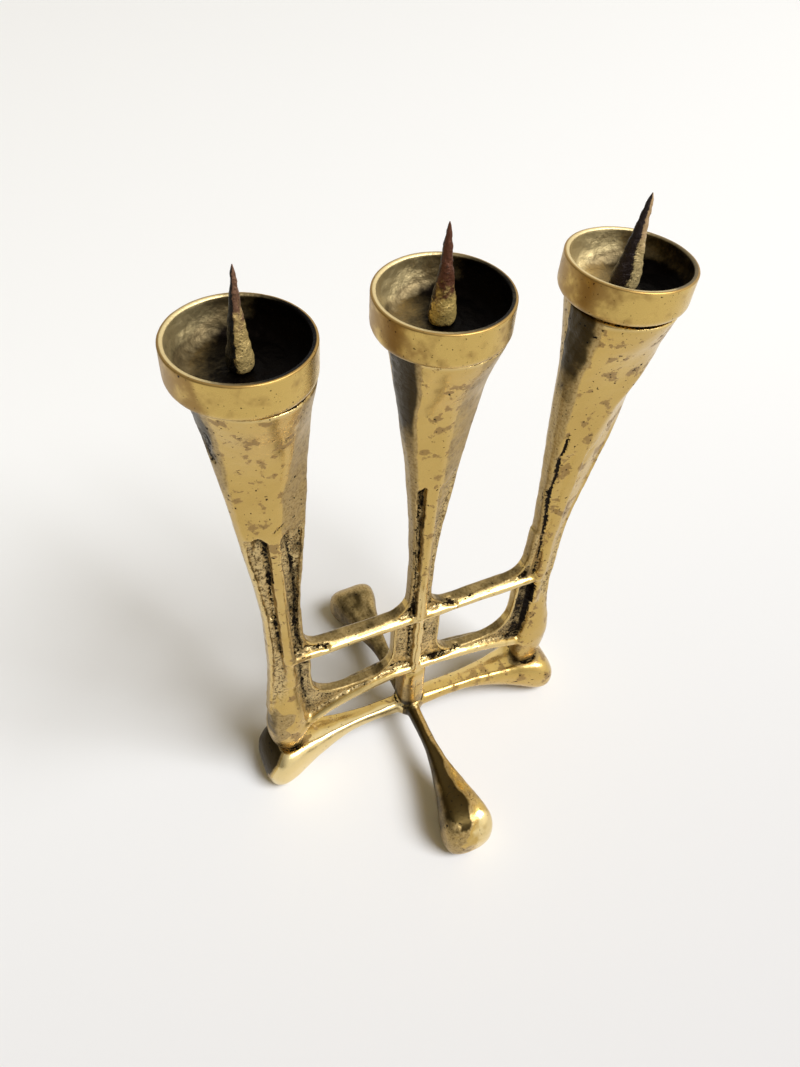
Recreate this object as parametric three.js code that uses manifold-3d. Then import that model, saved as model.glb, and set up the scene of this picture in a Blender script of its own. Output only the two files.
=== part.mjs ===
// Candelabra for three candles: a cast brass frame on a cast four-legged foot,
// with turned cups and candle spikes.
// Millimetres, +Z up. X runs along the three arms, the front toe points to -Y,
// and the origin lies on the table under the middle of the hub.

import * as THREE from 'three';
import { mergeVertices } from 'three/addons/utils/BufferGeometryUtils.js';
import Module from 'manifold-3d';

const wasm = await Module();
wasm.setup();

// Main sizes: height of the middle arm's mouth over the frame's underside, distance from arm to arm and
// reach of a leg. The casting is made by hand, so each arm and leg stands off them a little.
const ARM_HEIGHT = 208;
const ARM_SPACING = 56;
const LEG_REACH = 75;

// Fits
const CLEARANCE = 0.3;
const OVERCUT = 1;

// Arms: middle at the bars, at the panels' top and at the mouth, height of the mouth, half widths at
// the waist, at the panels' top and at the shoulder, the rib's middle at the panels' top, share of the
// half width where the filed front ends on the right near the mouth, and how far the right-hand panel's
// outer corner rises
const ARMS = {
  left: {
    bar: -ARM_SPACING, panel: -ARM_SPACING, mouth: -ARM_SPACING - 0.6, top: ARM_HEIGHT - 0.7,
    waist: 7, panelHalf: 11.3, shoulder: 14.4, rib: -ARM_SPACING - 1, crease: 0.35, slant: 0,
  },
  centre: {
    bar: 0, panel: 0.4, mouth: 0.6, top: ARM_HEIGHT,
    waist: 4.6, panelHalf: 8.6, shoulder: 13.8, rib: -1.4, crease: 0.15, slant: 4,
  },
  right: {
    bar: ARM_SPACING, panel: ARM_SPACING + 2.8, mouth: ARM_SPACING + 4.4, top: ARM_HEIGHT - 4,
    waist: 7, panelHalf: 12, shoulder: 15.2, rib: ARM_SPACING + 0.4, crease: 0.9, slant: 9,
  },
};
const LEFT_CREASE = 0.8;
const LEAST_CREASE = 0.06;
const MOUTH_RADIUS = 17.7;
const MOUTH_TURN = 45;
const MOUTH_ROUNDNESS = 0.97;
const SHOULDER_DROP = 25;
const SHOULDER_DEPTH = 9.4;
const PANEL_DROP = 59;
const PANEL_DEPTH = 7;
const WAIST_RISE = 30;
const ARM_EDGE = 2.2;

// Cups, with the lean of each on its arm in radians, towards +X and towards +Y
const CUPS = {
  left: { x: ARMS.left.mouth - 1.9, leanX: 0.03, leanY: 0.01 },
  centre: { x: ARMS.centre.mouth - 2.1, leanX: 0.004, leanY: 0.008 },
  right: { x: ARMS.right.mouth - 1.1, leanX: 0.06, leanY: 0.04 },
};
const CUP_OVERHANG = 2.3;
const CUP_RADIUS = MOUTH_RADIUS + CUP_OVERHANG;
const CUP_HEIGHT = 12;
const CUP_LIP = 2;
const CUP_FLOOR = 2.2;
const CUP_FOOT_ROUND = 3.2;
const CUP_BOWL_ROUND = 5;
const CUP_BOWL_STRAIGHT = 1;
const CUP_FOOT_RADIUS = CUP_RADIUS - CUP_FOOT_ROUND;

// Low turned pad in each cup's floor, which the spike stands on
const PAD_RADIUS = 6;
const PAD_RISE = 0.4;

// Candle spikes: half widths at the base along X and Y, and how far the tip stands off along X
const SPIKES = {
  left: { halfWidth: 3.5, halfDepth: 3.5, bend: 1 },
  centre: { halfWidth: 3.9, halfDepth: 3.7, bend: -0.3 },
  right: { halfWidth: 5.2, halfDepth: 3.2, bend: 1 },
};
const SPIKE_REACH = 29;
const SPIKE_TIP = 0.4;
const SHANK_RADIUS = 2.2;
const SHANK_GRIP = 12;

// Lattice between the arms, its heights over the frame's underside
const UPPER_BAR_Z = 69.7;
const LOWER_BAR_Z = 30.6;
const BAR_HALF_HEIGHT = 2.2;
const RIB_HALF_WIDTH = 2.1;
const RIB_DEPTH = 5;
const WEB_DEPTH = 1.5;
const RIM_WIDTH = 1.2;
const WINDOW_INNER = 10.4;
const WINDOW_OUTER = 47;
const WINDOW_SILL = 1.6;
const WINDOW_FILLET = 16;
const WINDOW_CORNER = 5;
const GAP_FILLET = 13;
const WEB_FLARE = 3.4;
const UPPER_BAR_SET = 0.7;

// Drops under the outer arms, heights over the frame's underside
const DROPS = {
  left: { x: -ARM_SPACING - 3, radius: 8.8, z: 20 },
  right: { x: ARM_SPACING + 5.6, radius: 8, z: 25.5 },
};
const DROP_TIP_Z = 66;
const DROP_FOOT_RADIUS = 3;
const DROP_FLATNESS = 0.85;

// Hub block under the middle arm
const HUB_HALF_WIDTH = 5.2;
const HUB_HALF_DEPTH = 5.6;
const HUB_NECK = 3;
const HUB_FILLET = 6;

// Foot: its legs' headings in degrees from +X, their reach and the half widths of their waists and toes
const LEGS = {
  front: { heading: 270, reach: LEG_REACH - 2.5, waist: 3.1, toe: 11.4 },
  back: { heading: 92, reach: LEG_REACH, waist: 3.6, toe: 11.8 },
  left: { heading: 180, reach: LEG_REACH - 2.2, waist: 4, toe: 13.2 },
  right: { heading: 0, reach: LEG_REACH + 1.6, waist: 4.8, toe: 14 },
};
const FOOT_TOP = 22;
const LEG_THICKNESS = 8.4;
const LEG_RISE = 3;
const TOE_LENGTH = 26;
const TOE_ROUNDING = 9;
const TOE_NOSE = 0.55;
const TOE_NOSE_Z = 8;
const VALLEY_DEPTH = 2.4;
const DROP_SINK = 1;

// Hub screw and washer
const SCREW_RADIUS = 2.5;
const SCREW_GRIP = 14;
const SCREW_POINT = 1;
const HEAD_RADIUS = 4.2;
const HEAD_HEIGHT = 2.6;
const WASHER_RADIUS = 5;
const WASHER_THICKNESS = 1;
const HUB_FLANGE = 4;
const BOSS_RISE = 1;
const BOSS_WALL = 1;

// Fineness of the curves
const SECTION_POINTS = 20;
const BAR_POINTS = 12;
const CUP_SEGMENTS = 32;
const SMALL_SEGMENTS = 16;

// Materials
function brass(name, color, roughness) {
  return new THREE.MeshStandardMaterial({ name, color, roughness, metalness: 1 });
}
const castBrass = brass('cast_brass', 0xb8965a, 0.38);
const turnedBrass = brass('turned_brass', 0xc4a15a, 0.28);
const spikeBronze = brass('spike_bronze', 0x8a6236, 0.55);
const screwSteel = brass('screw_steel', 0x8b8b86, 0.4);

// Smooth curve through stations of [position, value, value ...]
function through(...stations) {
  const size = stations[0].length - 1;
  const positions = stations.map((station) => station[0]);
  const values = stations.flatMap((station) => station.slice(1));
  const curve = new THREE.CubicInterpolant(positions, values, size);
  return (position) => Array.from(curve.evaluate(position));
}

function steps(from, to, count) {
  return Array.from({ length: count + 1 }, (_, i) => from + ((to - from) * i) / count);
}

// Rounded box outline of [across, along] pairs: exponent 2 is an ellipse, more is squarer
function roundedSection(halfWidth, halfDepth, exponent, count = SECTION_POINTS) {
  const power = (value) => Math.sign(value) * Math.abs(value) ** (2 / exponent);
  return steps(0, 2 * Math.PI, count).slice(0, -1)
    .map((angle) => [halfWidth * power(Math.cos(angle)), halfDepth * power(Math.sin(angle))]);
}

// Skin over a row of rings of equal count, its ends closed unless the row runs round
function skin(rings, round = false) {
  const count = rings[0].length;
  const index = [];
  const spans = round ? rings.length : rings.length - 1;
  for (let i = 0; i < spans; i += 1) {
    const near = i * count;
    const far = ((i + 1) % rings.length) * count;
    for (let j = 0; j < count; j += 1) {
      const k = (j + 1) % count;
      index.push(near + j, near + k, far + k, near + j, far + k, far + j);
    }
  }
  if (!round) {
    const end = (rings.length - 1) * count;
    for (let j = 1; j < count - 1; j += 1) index.push(0, j + 1, j, end, end + j, end + j + 1);
  }
  const geometry = new THREE.BufferGeometry().setFromPoints(rings.flat());
  geometry.setIndex(signedVolume(rings.flat(), index) < 0 ? index.reverse() : index);
  return geometry;
}

function signedVolume(points, index) {
  let volume = 0;
  for (let i = 0; i < index.length; i += 3) {
    const [a, b, c] = [points[index[i]], points[index[i + 1]], points[index[i + 2]]];
    volume += a.dot(new THREE.Vector3().crossVectors(b, c));
  }
  return volume;
}

function toSolid(geometry) {
  geometry.deleteAttribute('normal');
  geometry.deleteAttribute('uv');
  const merged = mergeVertices(geometry, 1e-4);
  return new wasm.Manifold(new wasm.Mesh({
    numProp: 3,
    vertProperties: new Float32Array(merged.attributes.position.array),
    triVerts: new Uint32Array(merged.index.array),
  }));
}

function toGeometry(solid) {
  const mesh = solid.getMesh();
  const geometry = new THREE.BufferGeometry();
  geometry.setAttribute('position', new THREE.BufferAttribute(mesh.vertProperties, 3));
  geometry.setIndex(new THREE.BufferAttribute(mesh.triVerts, 1));
  geometry.computeVertexNormals();
  return geometry;
}

function union(solids) {
  return solids.reduce((whole, solid) => whole.add(solid));
}

// Upright cylinder from one height to another
function pin(x, bottom, top, radius) {
  const geometry = new THREE.CylinderGeometry(radius, radius, top - bottom, SMALL_SEGMENTS);
  return toSolid(geometry.rotateX(Math.PI / 2).translate(x, 0, (bottom + top) / 2));
}

// Upright plate that reaches as far behind the frame's middle plane as before it
function plate(shape, halfDepth) {
  const options = { depth: 2 * halfDepth, bevelEnabled: false, curveSegments: 8 };
  const geometry = new THREE.ExtrudeGeometry(shape, options);
  return toSolid(geometry.rotateX(Math.PI / 2).translate(0, halfDepth, 0));
}

// Bar of rounded section along a path of [x, z] points in the frame's middle plane
function bar(path, halfWidth, halfDepth, exponent, count, round = false) {
  const rings = path.map(([x, z], i) => {
    const before = path[round ? (i + path.length - 1) % path.length : Math.max(i - 1, 0)];
    const after = path[round ? (i + 1) % path.length : Math.min(i + 1, path.length - 1)];
    const across = new THREE.Vector2(before[1] - after[1], after[0] - before[0]).normalize();
    return roundedSection(halfWidth, halfDepth, exponent, count)
      .map(([u, v]) => new THREE.Vector3(x + across.x * u, v, z + across.y * u));
  });
  return toSolid(skin(rings, round));
}

// Outline through corners of [x, z, radius], each corner rounded as far as its edges allow
function roundedOutline(corners) {
  const shape = new THREE.Shape();
  corners.forEach(([x, z, radius], i) => {
    const corner = new THREE.Vector2(x, z);
    const before = new THREE.Vector2(...corners[(i + corners.length - 1) % corners.length]).sub(corner);
    const after = new THREE.Vector2(...corners[(i + 1) % corners.length]).sub(corner);
    const fillet = Math.min(radius, 0.48 * before.length(), 0.48 * after.length());
    const enter = before.setLength(fillet).add(corner);
    const leave = after.setLength(fillet).add(corner);
    if (i === 0) shape.moveTo(enter.x, enter.y);
    else shape.lineTo(enter.x, enter.y);
    if (fillet > 0) shape.quadraticCurveTo(x, z, leave.x, leave.y);
  });
  shape.closePath();
  return shape;
}

function mirrored(points) {
  return points.map(([x, ...rest]) => [-x, ...rest]).reverse();
}

// Arms
function armCurve({ bar: barX, panel, mouth, waist, panelHalf, shoulder, top }) {
  // Each station holds a height, the arm's middle, its half width and its half depth
  return through(
    [UPPER_BAR_Z, barX, waist, RIB_DEPTH],
    [UPPER_BAR_Z + WAIST_RISE, barX + 0.25 * (panel - barX), waist, RIB_DEPTH],
    [top - PANEL_DROP, panel, panelHalf, PANEL_DEPTH],
    [top - SHOULDER_DROP, (panel + mouth) / 2, shoulder, SHOULDER_DEPTH],
    [top, mouth, MOUTH_RADIUS, MOUTH_RADIUS],
  );
}

// Middle of an arm's rib: straight up from the bars, then over to its place at the panels' top
function ribMiddle({ bar: barX, rib, top }, z) {
  const { lerp, smoothstep } = THREE.MathUtils;
  return lerp(barX, rib, smoothstep(z, UPPER_BAR_Z + WAIST_RISE, top - PANEL_DROP));
}

// Share of the half width where an arm's filed front ends on the right: at the rib's side up to the
// panels' top, then across to the crease near the mouth
function rightCrease({ panel, panelHalf, rib, crease, top }, z) {
  const { lerp, smoothstep } = THREE.MathUtils;
  const ribSide = Math.max(LEAST_CREASE, (rib + RIB_HALF_WIDTH - panel) / panelHalf);
  return lerp(ribSide, crease, smoothstep(z, top - PANEL_DROP, top - SHOULDER_DROP / 2));
}

// A quarter of an arm's section, from its edge to its middle, as [share of the half width, half depth]:
// a flat filed front, a flat flank that slopes to a blunt edge, and both turned round at the mouth
function armQuarter(crease, halfDepth, roundness) {
  const arcShares = steps(0, Math.PI / 2, SECTION_POINTS / 4).map((angle) => Math.cos(angle));
  const [edge, inside, , , front] = arcShares;
  const creasedShares = [edge, inside, (inside + crease) / 2, crease, front * crease, 0];
  return creasedShares.map((creasedShare, i) => {
    const share = THREE.MathUtils.lerp(creasedShare, arcShares[i], roundness);
    const flat = ARM_EDGE + (halfDepth - ARM_EDGE) * Math.min(1, (1 - share) / (1 - crease));
    const circle = halfDepth * Math.sqrt(1 - share * share);
    return [share, THREE.MathUtils.lerp(flat, circle, roundness)];
  });
}

function armHull(data) {
  const curve = armCurve(data);
  const rings = steps(UPPER_BAR_Z + BAR_HALF_HEIGHT, data.top, 12).map((z) => {
    const [middle, halfWidth, halfDepth] = curve(z);
    const roundness = MOUTH_ROUNDNESS * THREE.MathUtils.smoothstep(z, data.top - MOUTH_TURN, data.top);
    const right = armQuarter(rightCrease(data, z), halfDepth, roundness)
      .map(([share, depth]) => [middle + share * halfWidth, -depth]);
    const left = armQuarter(LEFT_CREASE, halfDepth, roundness)
      .map(([share, depth]) => [middle - share * halfWidth, -depth]);
    const front = [...right, ...left.slice(0, -1).reverse()];
    const back = front.map(([x, y]) => [x, -y]).reverse();
    return [...front, ...back].map(([x, y]) => new THREE.Vector3(x, y, z));
  });
  return toSolid(skin(rings));
}

// Sunk panel beside an arm's rib, cut from the web's two faces outwards
function armPanel(data, hand) {
  const curve = armCurve(data);
  const ribTop = data.top - PANEL_DROP;
  const rimTop = hand > 0 ? ribTop + data.slant : ribTop;
  const ribSide = steps(UPPER_BAR_Z, ribTop, 6)
    .map((z) => [ribMiddle(data, z) + hand * RIB_HALF_WIDTH, z, 0]);
  const rimSide = steps(UPPER_BAR_Z, rimTop, 6)
    .map((z) => [curve(z)[0] + hand * (curve(z)[1] - RIM_WIDTH), z, 0]);
  rimSide[rimSide.length - 1][2] = RIB_HALF_WIDTH;
  const shape = roundedOutline([...ribSide, ...rimSide.reverse()]);
  const depth = SHOULDER_DEPTH;
  const tool = toSolid(new THREE.ExtrudeGeometry(shape, { depth, bevelEnabled: false, curveSegments: 3 })
    .rotateX(Math.PI / 2).translate(0, -WEB_DEPTH, 0));
  return tool.add(tool.translate([0, depth + 2 * WEB_DEPTH, 0]));
}

function armSolid(name) {
  const data = ARMS[name];
  const boreFloor = data.top - SHANK_GRIP - OVERCUT;
  const bore = pin(CUPS[name].x, boreFloor, data.top + OVERCUT, SHANK_RADIUS + CLEARANCE);
  return [armPanel(data, 1), armPanel(data, -1), bore]
    .reduce((whole, cut) => whole.subtract(cut), armHull(data));
}

// Lower bar, one side of it: level at the hub, then down to the drop
function lowerBarPath({ x, radius, z }) {
  const reach = Math.abs(x);
  const end = z - radius;
  const curve = through(
    [0, LOWER_BAR_Z],
    [WINDOW_INNER, LOWER_BAR_Z],
    [(WINDOW_INNER + reach) / 2, LOWER_BAR_Z - 0.32 * (LOWER_BAR_Z - end)],
    [reach, end],
  );
  return steps(0, reach, 9).map((along) => [Math.sign(x) * along, curve(along)[0]]);
}

// One window of the lattice, on the +X side
function windowCorners() {
  const sill = LOWER_BAR_Z + WINDOW_SILL;
  return [
    [WINDOW_INNER, UPPER_BAR_Z - 1, WINDOW_CORNER],
    [WINDOW_OUTER, UPPER_BAR_Z - 1, WINDOW_CORNER],
    [WINDOW_OUTER, sill, WINDOW_FILLET],
    [WINDOW_INNER, sill, WINDOW_FILLET],
  ];
}

// Edge of the lattice from the middle arm to an outer one, over the upper bar
function gapCorners() {
  const top = UPPER_BAR_Z + WAIST_RISE;
  const innerEdge = ARMS.centre.waist - RIM_WIDTH / 2;
  const outerEdge = ARMS.right.bar - ARMS.right.waist + RIM_WIDTH / 2;
  const floor = UPPER_BAR_Z + BAR_HALF_HEIGHT - RIM_WIDTH / 2;
  const [inner, outer] = [[innerEdge, floor, GAP_FILLET], [outerEdge, floor, GAP_FILLET]];
  return [[innerEdge, top, 0], inner, outer, [outerEdge, top, 0]];
}

// Outer edge of an outer arm, down to its drop
function outerEdgeCorners() {
  const edge = ARMS.right.bar + ARMS.right.waist - RIM_WIDTH / 2;
  return [
    [edge, UPPER_BAR_Z + WAIST_RISE, 0],
    [edge, UPPER_BAR_Z, GAP_FILLET],
    [edge + WEB_FLARE, DROPS.right.z + DROPS.right.radius, 0],
  ];
}

// Half of the web's outline, on a drop's side
function webCorners(dropData) {
  const barEdge = lowerBarPath(dropData).filter(([x]) => Math.abs(x) >= WINDOW_INNER);
  const hubSide = HUB_HALF_WIDTH - RIM_WIDTH;
  const hubCorners = [[hubSide, LOWER_BAR_Z - BAR_HALF_HEIGHT, HUB_FILLET], [hubSide, LOWER_BAR_Z / 2, 0]];
  return [
    ...gapCorners(),
    ...outerEdgeCorners(),
    ...barEdge.map(([x, z]) => [Math.abs(x), z, 0]).reverse(),
    ...hubCorners,
  ];
}

function lattice() {
  const outline = roundedOutline([...webCorners(DROPS.right), ...mirrored(webCorners(DROPS.left))]);
  const windows = [windowCorners(), mirrored(windowCorners())]
    .map((corners) => plate(roundedOutline(corners), RIB_DEPTH));
  return union([plate(outline, WEB_DEPTH).subtract(union(windows)), ...latticeRims(), ...latticeBars()]);
}

// Raised rims along the edges of the web
function latticeRims() {
  const pathOf = (corners) => roundedOutline(corners).getPoints(5).slice(0, -1)
    .map((point) => [point.x, point.y]);
  const edges = [gapCorners(), outerEdgeCorners()];
  const rim = (corners, round) => bar(pathOf(corners), RIM_WIDTH / 2, ARM_EDGE, 2.5, 8, round);
  return [
    ...[...edges, ...edges.map(mirrored)].map((corners) => rim(corners, false)),
    ...[windowCorners(), mirrored(windowCorners())].map((corners) => rim(corners, true)),
  ];
}

function latticeBars() {
  const reach = ARMS.right.bar;
  const upper = steps(-reach, reach, 2).map((x) => [x, UPPER_BAR_Z]);
  const lower = [...lowerBarPath(DROPS.left).reverse(), ...lowerBarPath(DROPS.right).slice(1)];
  const ribs = Object.values(ARMS).map((data) => {
    const bottom = data.bar === 0 ? LOWER_BAR_Z - HUB_NECK : DROP_TIP_Z - RIB_DEPTH;
    return steps(bottom, UPPER_BAR_Z + WAIST_RISE, 2).map((z) => [data.bar, z]);
  });
  const upperBar = bar(upper, BAR_HALF_HEIGHT, RIB_DEPTH - UPPER_BAR_SET, 2.6, BAR_POINTS);
  return [
    upperBar.translate([0, -UPPER_BAR_SET, 0]),
    bar(lower, BAR_HALF_HEIGHT, RIB_DEPTH, 2.6, BAR_POINTS),
    ...ribs.map((path) => bar(path, RIB_HALF_WIDTH, RIB_DEPTH, 3, BAR_POINTS)),
  ];
}

// Drop-shaped end of an outer arm, grown by a clearance where it cuts its seat
function drop(side, growth = 0) {
  const { x, radius, z } = DROPS[side];
  const rib = ARMS[side].bar;
  const bottom = LEG_RISE - DROP_SINK;
  const curve = through(
    [bottom, x, DROP_FOOT_RADIUS],
    [(bottom + z) / 2, x, 0.82 * radius],
    [z, x, radius],
    [(z + DROP_TIP_Z) / 2, (2 * x + rib) / 3, 0.66 * radius],
    [DROP_TIP_Z, rib, RIB_HALF_WIDTH],
  );
  const rings = steps(bottom, DROP_TIP_Z, 11).map((height) => {
    const [middle, reach] = curve(height);
    return roundedSection(reach + growth, DROP_FLATNESS * reach + growth, 2.3, SMALL_SEGMENTS)
      .map(([across, depth]) => new THREE.Vector3(middle + across, depth, height - growth));
  });
  return toSolid(skin(rings));
}

function hubBlock() {
  const top = LOWER_BAR_Z - HUB_NECK;
  const rings = [[0, 0.94], [2, 1], [top - HUB_NECK, 1], [top, 0.8]].map(([z, scale]) => roundedSection(
    HUB_HALF_WIDTH * scale,
    HUB_HALF_DEPTH * scale,
    5,
    SMALL_SEGMENTS,
  ).map(([x, y]) => new THREE.Vector3(x, y, z)));
  return toSolid(skin(rings));
}

function frameCasting() {
  const arms = Object.keys(ARMS).map(armSolid);
  const body = union([...arms, lattice(), drop('left'), drop('right'), hubBlock()]);
  return body.subtract(pin(0, -OVERCUT, SCREW_GRIP + OVERCUT, SCREW_RADIUS + CLEARANCE));
}

// Foot: one leg along +X, its far end rounded off to the toe's nose
function leg({ reach, waist, toe }) {
  const shoulder = reach - TOE_LENGTH;
  // Each station holds a distance from the hub, then half width, underside, top and depth of the valley
  const curve = through(
    [0, waist, FOOT_TOP - LEG_THICKNESS, FOOT_TOP, 0],
    [0.6 * shoulder, waist, FOOT_TOP - LEG_THICKNESS, FOOT_TOP, 0.5 * VALLEY_DEPTH],
    [shoulder, 0.6 * toe, 0.3 * FOOT_TOP, FOOT_TOP + 0.5 * LEG_RISE, VALLEY_DEPTH],
    [reach - TOE_ROUNDING, toe, -OVERCUT, FOOT_TOP + LEG_RISE, VALLEY_DEPTH],
    [reach, toe, -OVERCUT, FOOT_TOP - LEG_RISE, 0.5 * VALLEY_DEPTH],
  );
  const nose = [0.35, 0.6, 0.8, 0.93, 1].map((share) => reach - TOE_ROUNDING * (1 - share));
  const rings = [...steps(0, reach - TOE_ROUNDING, 10), ...nose].map((along) => {
    const [halfWidth, underside, top, valley] = curve(along);
    const share = Math.max(0, along - reach + TOE_ROUNDING) / TOE_ROUNDING;
    const fullness = Math.sqrt(1 - (1 - TOE_NOSE ** 2) * share ** 3);
    const middle = THREE.MathUtils.lerp(TOE_NOSE_Z, (top + underside) / 2, fullness);
    const halfHeight = (fullness * (top - underside)) / 2;
    return roundedSection(halfWidth * fullness, halfHeight, 2.6).map(([across, up]) => {
      const dip = up > 0 ? valley * Math.cos((across / halfWidth) * Math.PI / 2) ** 2 : 0;
      return new THREE.Vector3(along, across, middle + up - dip);
    });
  });
  return toSolid(skin(rings));
}

function footCasting() {
  const legs = Object.values(LEGS).map((data) => leg(data).rotate([0, 0, data.heading]));
  const boss = pin(0, FOOT_TOP - LEG_THICKNESS + BOSS_RISE, FOOT_TOP, WASHER_RADIUS + BOSS_WALL);
  const span = 3 * LEG_REACH;
  const table = toSolid(new THREE.BoxGeometry(span, span, FOOT_TOP).translate(0, 0, -FOOT_TOP / 2));
  const hubSpan = 2 * (Math.max(HUB_HALF_WIDTH, HUB_HALF_DEPTH) + OVERCUT);
  const overHub = toSolid(new THREE.BoxGeometry(hubSpan, hubSpan, FOOT_TOP).translate(0, 0, 1.5 * FOOT_TOP));
  const frameZ = FOOT_TOP + CLEARANCE;
  const cuts = [
    table,
    overHub,
    drop('left', CLEARANCE).translate([0, 0, frameZ]),
    drop('right', CLEARANCE).translate([0, 0, frameZ]),
    pin(0, 0, FOOT_TOP + OVERCUT, SCREW_RADIUS + CLEARANCE),
    pin(0, 0, FOOT_TOP - HUB_FLANGE, WASHER_RADIUS + CLEARANCE),
  ];
  return cuts.reduce((whole, cut) => whole.subtract(cut), union([...legs, boss]));
}

// Turned piece about its own upright axis, from an outline of [radius, height] points
function turned(outline, segments) {
  const points = outline.map(([radius, height]) => new THREE.Vector2(radius, height));
  return new THREE.LatheGeometry(points, segments).rotateX(Math.PI / 2);
}

function arc(centreX, centreZ, radiusX, radiusZ, from, to, count) {
  return steps(from, to, count)
    .map((angle) => [centreX + radiusX * Math.cos(angle), centreZ + radiusZ * Math.sin(angle)]);
}

// Cup: a straight band over a rounded foot, hollow like a bowl with a flat floor round the spike's pad
function cupGeometry() {
  const hole = SHANK_RADIUS + 2 * CLEARANCE;
  const bowl = CUP_RADIUS - CUP_LIP;
  const bowlTop = CUP_HEIGHT - CUP_BOWL_STRAIGHT;
  const outline = [
    [hole, 0],
    ...arc(CUP_FOOT_RADIUS, CUP_FOOT_ROUND, CUP_FOOT_ROUND, CUP_FOOT_ROUND, -Math.PI / 2, 0, 3),
    [CUP_RADIUS, CUP_HEIGHT - CUP_LIP / 4],
    [CUP_RADIUS - CUP_LIP / 4, CUP_HEIGHT],
    [bowl + CUP_LIP / 4, CUP_HEIGHT],
    ...arc(bowl - CUP_BOWL_ROUND, bowlTop, CUP_BOWL_ROUND, bowlTop - CUP_FLOOR, 0, -Math.PI / 2, 5),
    [PAD_RADIUS + PAD_RISE, CUP_FLOOR],
    [PAD_RADIUS, CUP_FLOOR + PAD_RISE],
    [hole, CUP_FLOOR + PAD_RISE],
    [hole, 0],
  ];
  return turned(outline, CUP_SEGMENTS);
}

// Spike: a rough cone with a shank that passes the cup's floor into the arm
function spikeGeometry({ halfWidth, halfDepth, bend }) {
  const seat = CUP_FLOOR + PAD_RISE + CLEARANCE;
  const shares = [[0, 0.9], [0.05, 1], [0.35, 0.7], [0.7, 0.36], [0.97, 0.1], [1, 0.02]];
  const rings = shares.map(([rise, share]) => {
    const least = rise < 1 ? SPIKE_TIP : SPIKE_TIP / 4;
    const halves = [halfWidth, halfDepth].map((half) => Math.max(half * share, least));
    return roundedSection(...halves, 2, SMALL_SEGMENTS)
      .map(([x, y]) => new THREE.Vector3(x + bend * rise * rise, y, seat + rise * SPIKE_REACH));
  });
  return toGeometry(toSolid(skin(rings)).add(pin(0, -SHANK_GRIP, seat + OVERCUT, SHANK_RADIUS)));
}

function hubScrewGeometry() {
  const seat = FOOT_TOP - HUB_FLANGE - WASHER_THICKNESS - 2 * CLEARANCE;
  const outline = [
    [0, seat - HEAD_HEIGHT],
    [HEAD_RADIUS * 0.7, seat - HEAD_HEIGHT],
    [HEAD_RADIUS, seat - HEAD_HEIGHT * 0.5],
    [HEAD_RADIUS, seat],
    [SCREW_RADIUS, seat],
    [SCREW_RADIUS, FOOT_TOP + SCREW_GRIP - SCREW_POINT],
    [SCREW_RADIUS * 0.6, FOOT_TOP + SCREW_GRIP],
    [0, FOOT_TOP + SCREW_GRIP],
  ];
  return turned(outline, SMALL_SEGMENTS);
}

function hubWasherGeometry() {
  const top = FOOT_TOP - HUB_FLANGE - CLEARANCE;
  const inner = SCREW_RADIUS + CLEARANCE;
  const outline = [
    [inner, top - WASHER_THICKNESS],
    [WASHER_RADIUS, top - WASHER_THICKNESS],
    [WASHER_RADIUS, top],
    [inner, top],
    [inner, top - WASHER_THICKNESS],
  ];
  return turned(outline, SMALL_SEGMENTS);
}

function piece(name, geometry, material) {
  const mesh = new THREE.Mesh(geometry, material);
  mesh.name = name;
  return mesh;
}

// Assembly: the frame and all that stands on it rise from the foot's top
const candelabra = new THREE.Group();
candelabra.add(
  piece('foot_casting', toGeometry(footCasting()), castBrass),
  piece('hub_screw', hubScrewGeometry(), screwSteel),
  piece('hub_washer', hubWasherGeometry(), screwSteel),
);

const frame = new THREE.Group();
frame.position.z = FOOT_TOP + CLEARANCE;
frame.add(piece('frame_casting', toGeometry(frameCasting()), castBrass));
candelabra.add(frame);

Object.entries(CUPS).forEach(([name, { x, leanX, leanY }]) => {
  const seat = new THREE.Group();
  // The low side of a leaning cup stays one clearance over the arm
  seat.position.set(x, 0, ARMS[name].top + CLEARANCE + CUP_FOOT_RADIUS * Math.sin(Math.hypot(leanX, leanY)));
  const cup = piece(`${name}_cup`, cupGeometry(), turnedBrass);
  cup.rotation.set(-leanY, leanX, 0);
  seat.add(cup, piece(`${name}_spike`, spikeGeometry(SPIKES[name]), spikeBronze));
  frame.add(seat);
});

export default candelabra;
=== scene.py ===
"""Three-armed cast brass candelabra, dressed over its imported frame."""

import logging
import math
from collections.abc import Callable, Iterable
from dataclasses import dataclass
from enum import Enum
from functools import partial
from typing import Any

import bpy
import numpy as np
from mathutils import Matrix, Vector, noise


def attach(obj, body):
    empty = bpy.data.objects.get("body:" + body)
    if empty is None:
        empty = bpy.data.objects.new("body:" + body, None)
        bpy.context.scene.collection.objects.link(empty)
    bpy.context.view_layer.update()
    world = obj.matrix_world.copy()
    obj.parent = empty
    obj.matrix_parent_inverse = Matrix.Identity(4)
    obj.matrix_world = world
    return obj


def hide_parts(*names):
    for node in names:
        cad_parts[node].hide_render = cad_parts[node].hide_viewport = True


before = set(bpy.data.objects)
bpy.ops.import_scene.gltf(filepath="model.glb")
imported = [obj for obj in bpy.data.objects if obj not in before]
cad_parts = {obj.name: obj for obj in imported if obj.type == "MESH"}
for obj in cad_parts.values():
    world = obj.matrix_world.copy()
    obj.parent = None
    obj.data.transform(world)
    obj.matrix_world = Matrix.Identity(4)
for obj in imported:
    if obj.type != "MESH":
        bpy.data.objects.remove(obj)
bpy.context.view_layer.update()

LOG = logging.getLogger("candelabra")
MM = 0.001

Points = list[list[float]]
Pair = tuple[float, float]
Field = np.ndarray
Shape = Callable[[Field, Field, Field], Field]
Socket = bpy.types.NodeSocket


# Shape arithmetic, in millimetres

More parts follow.
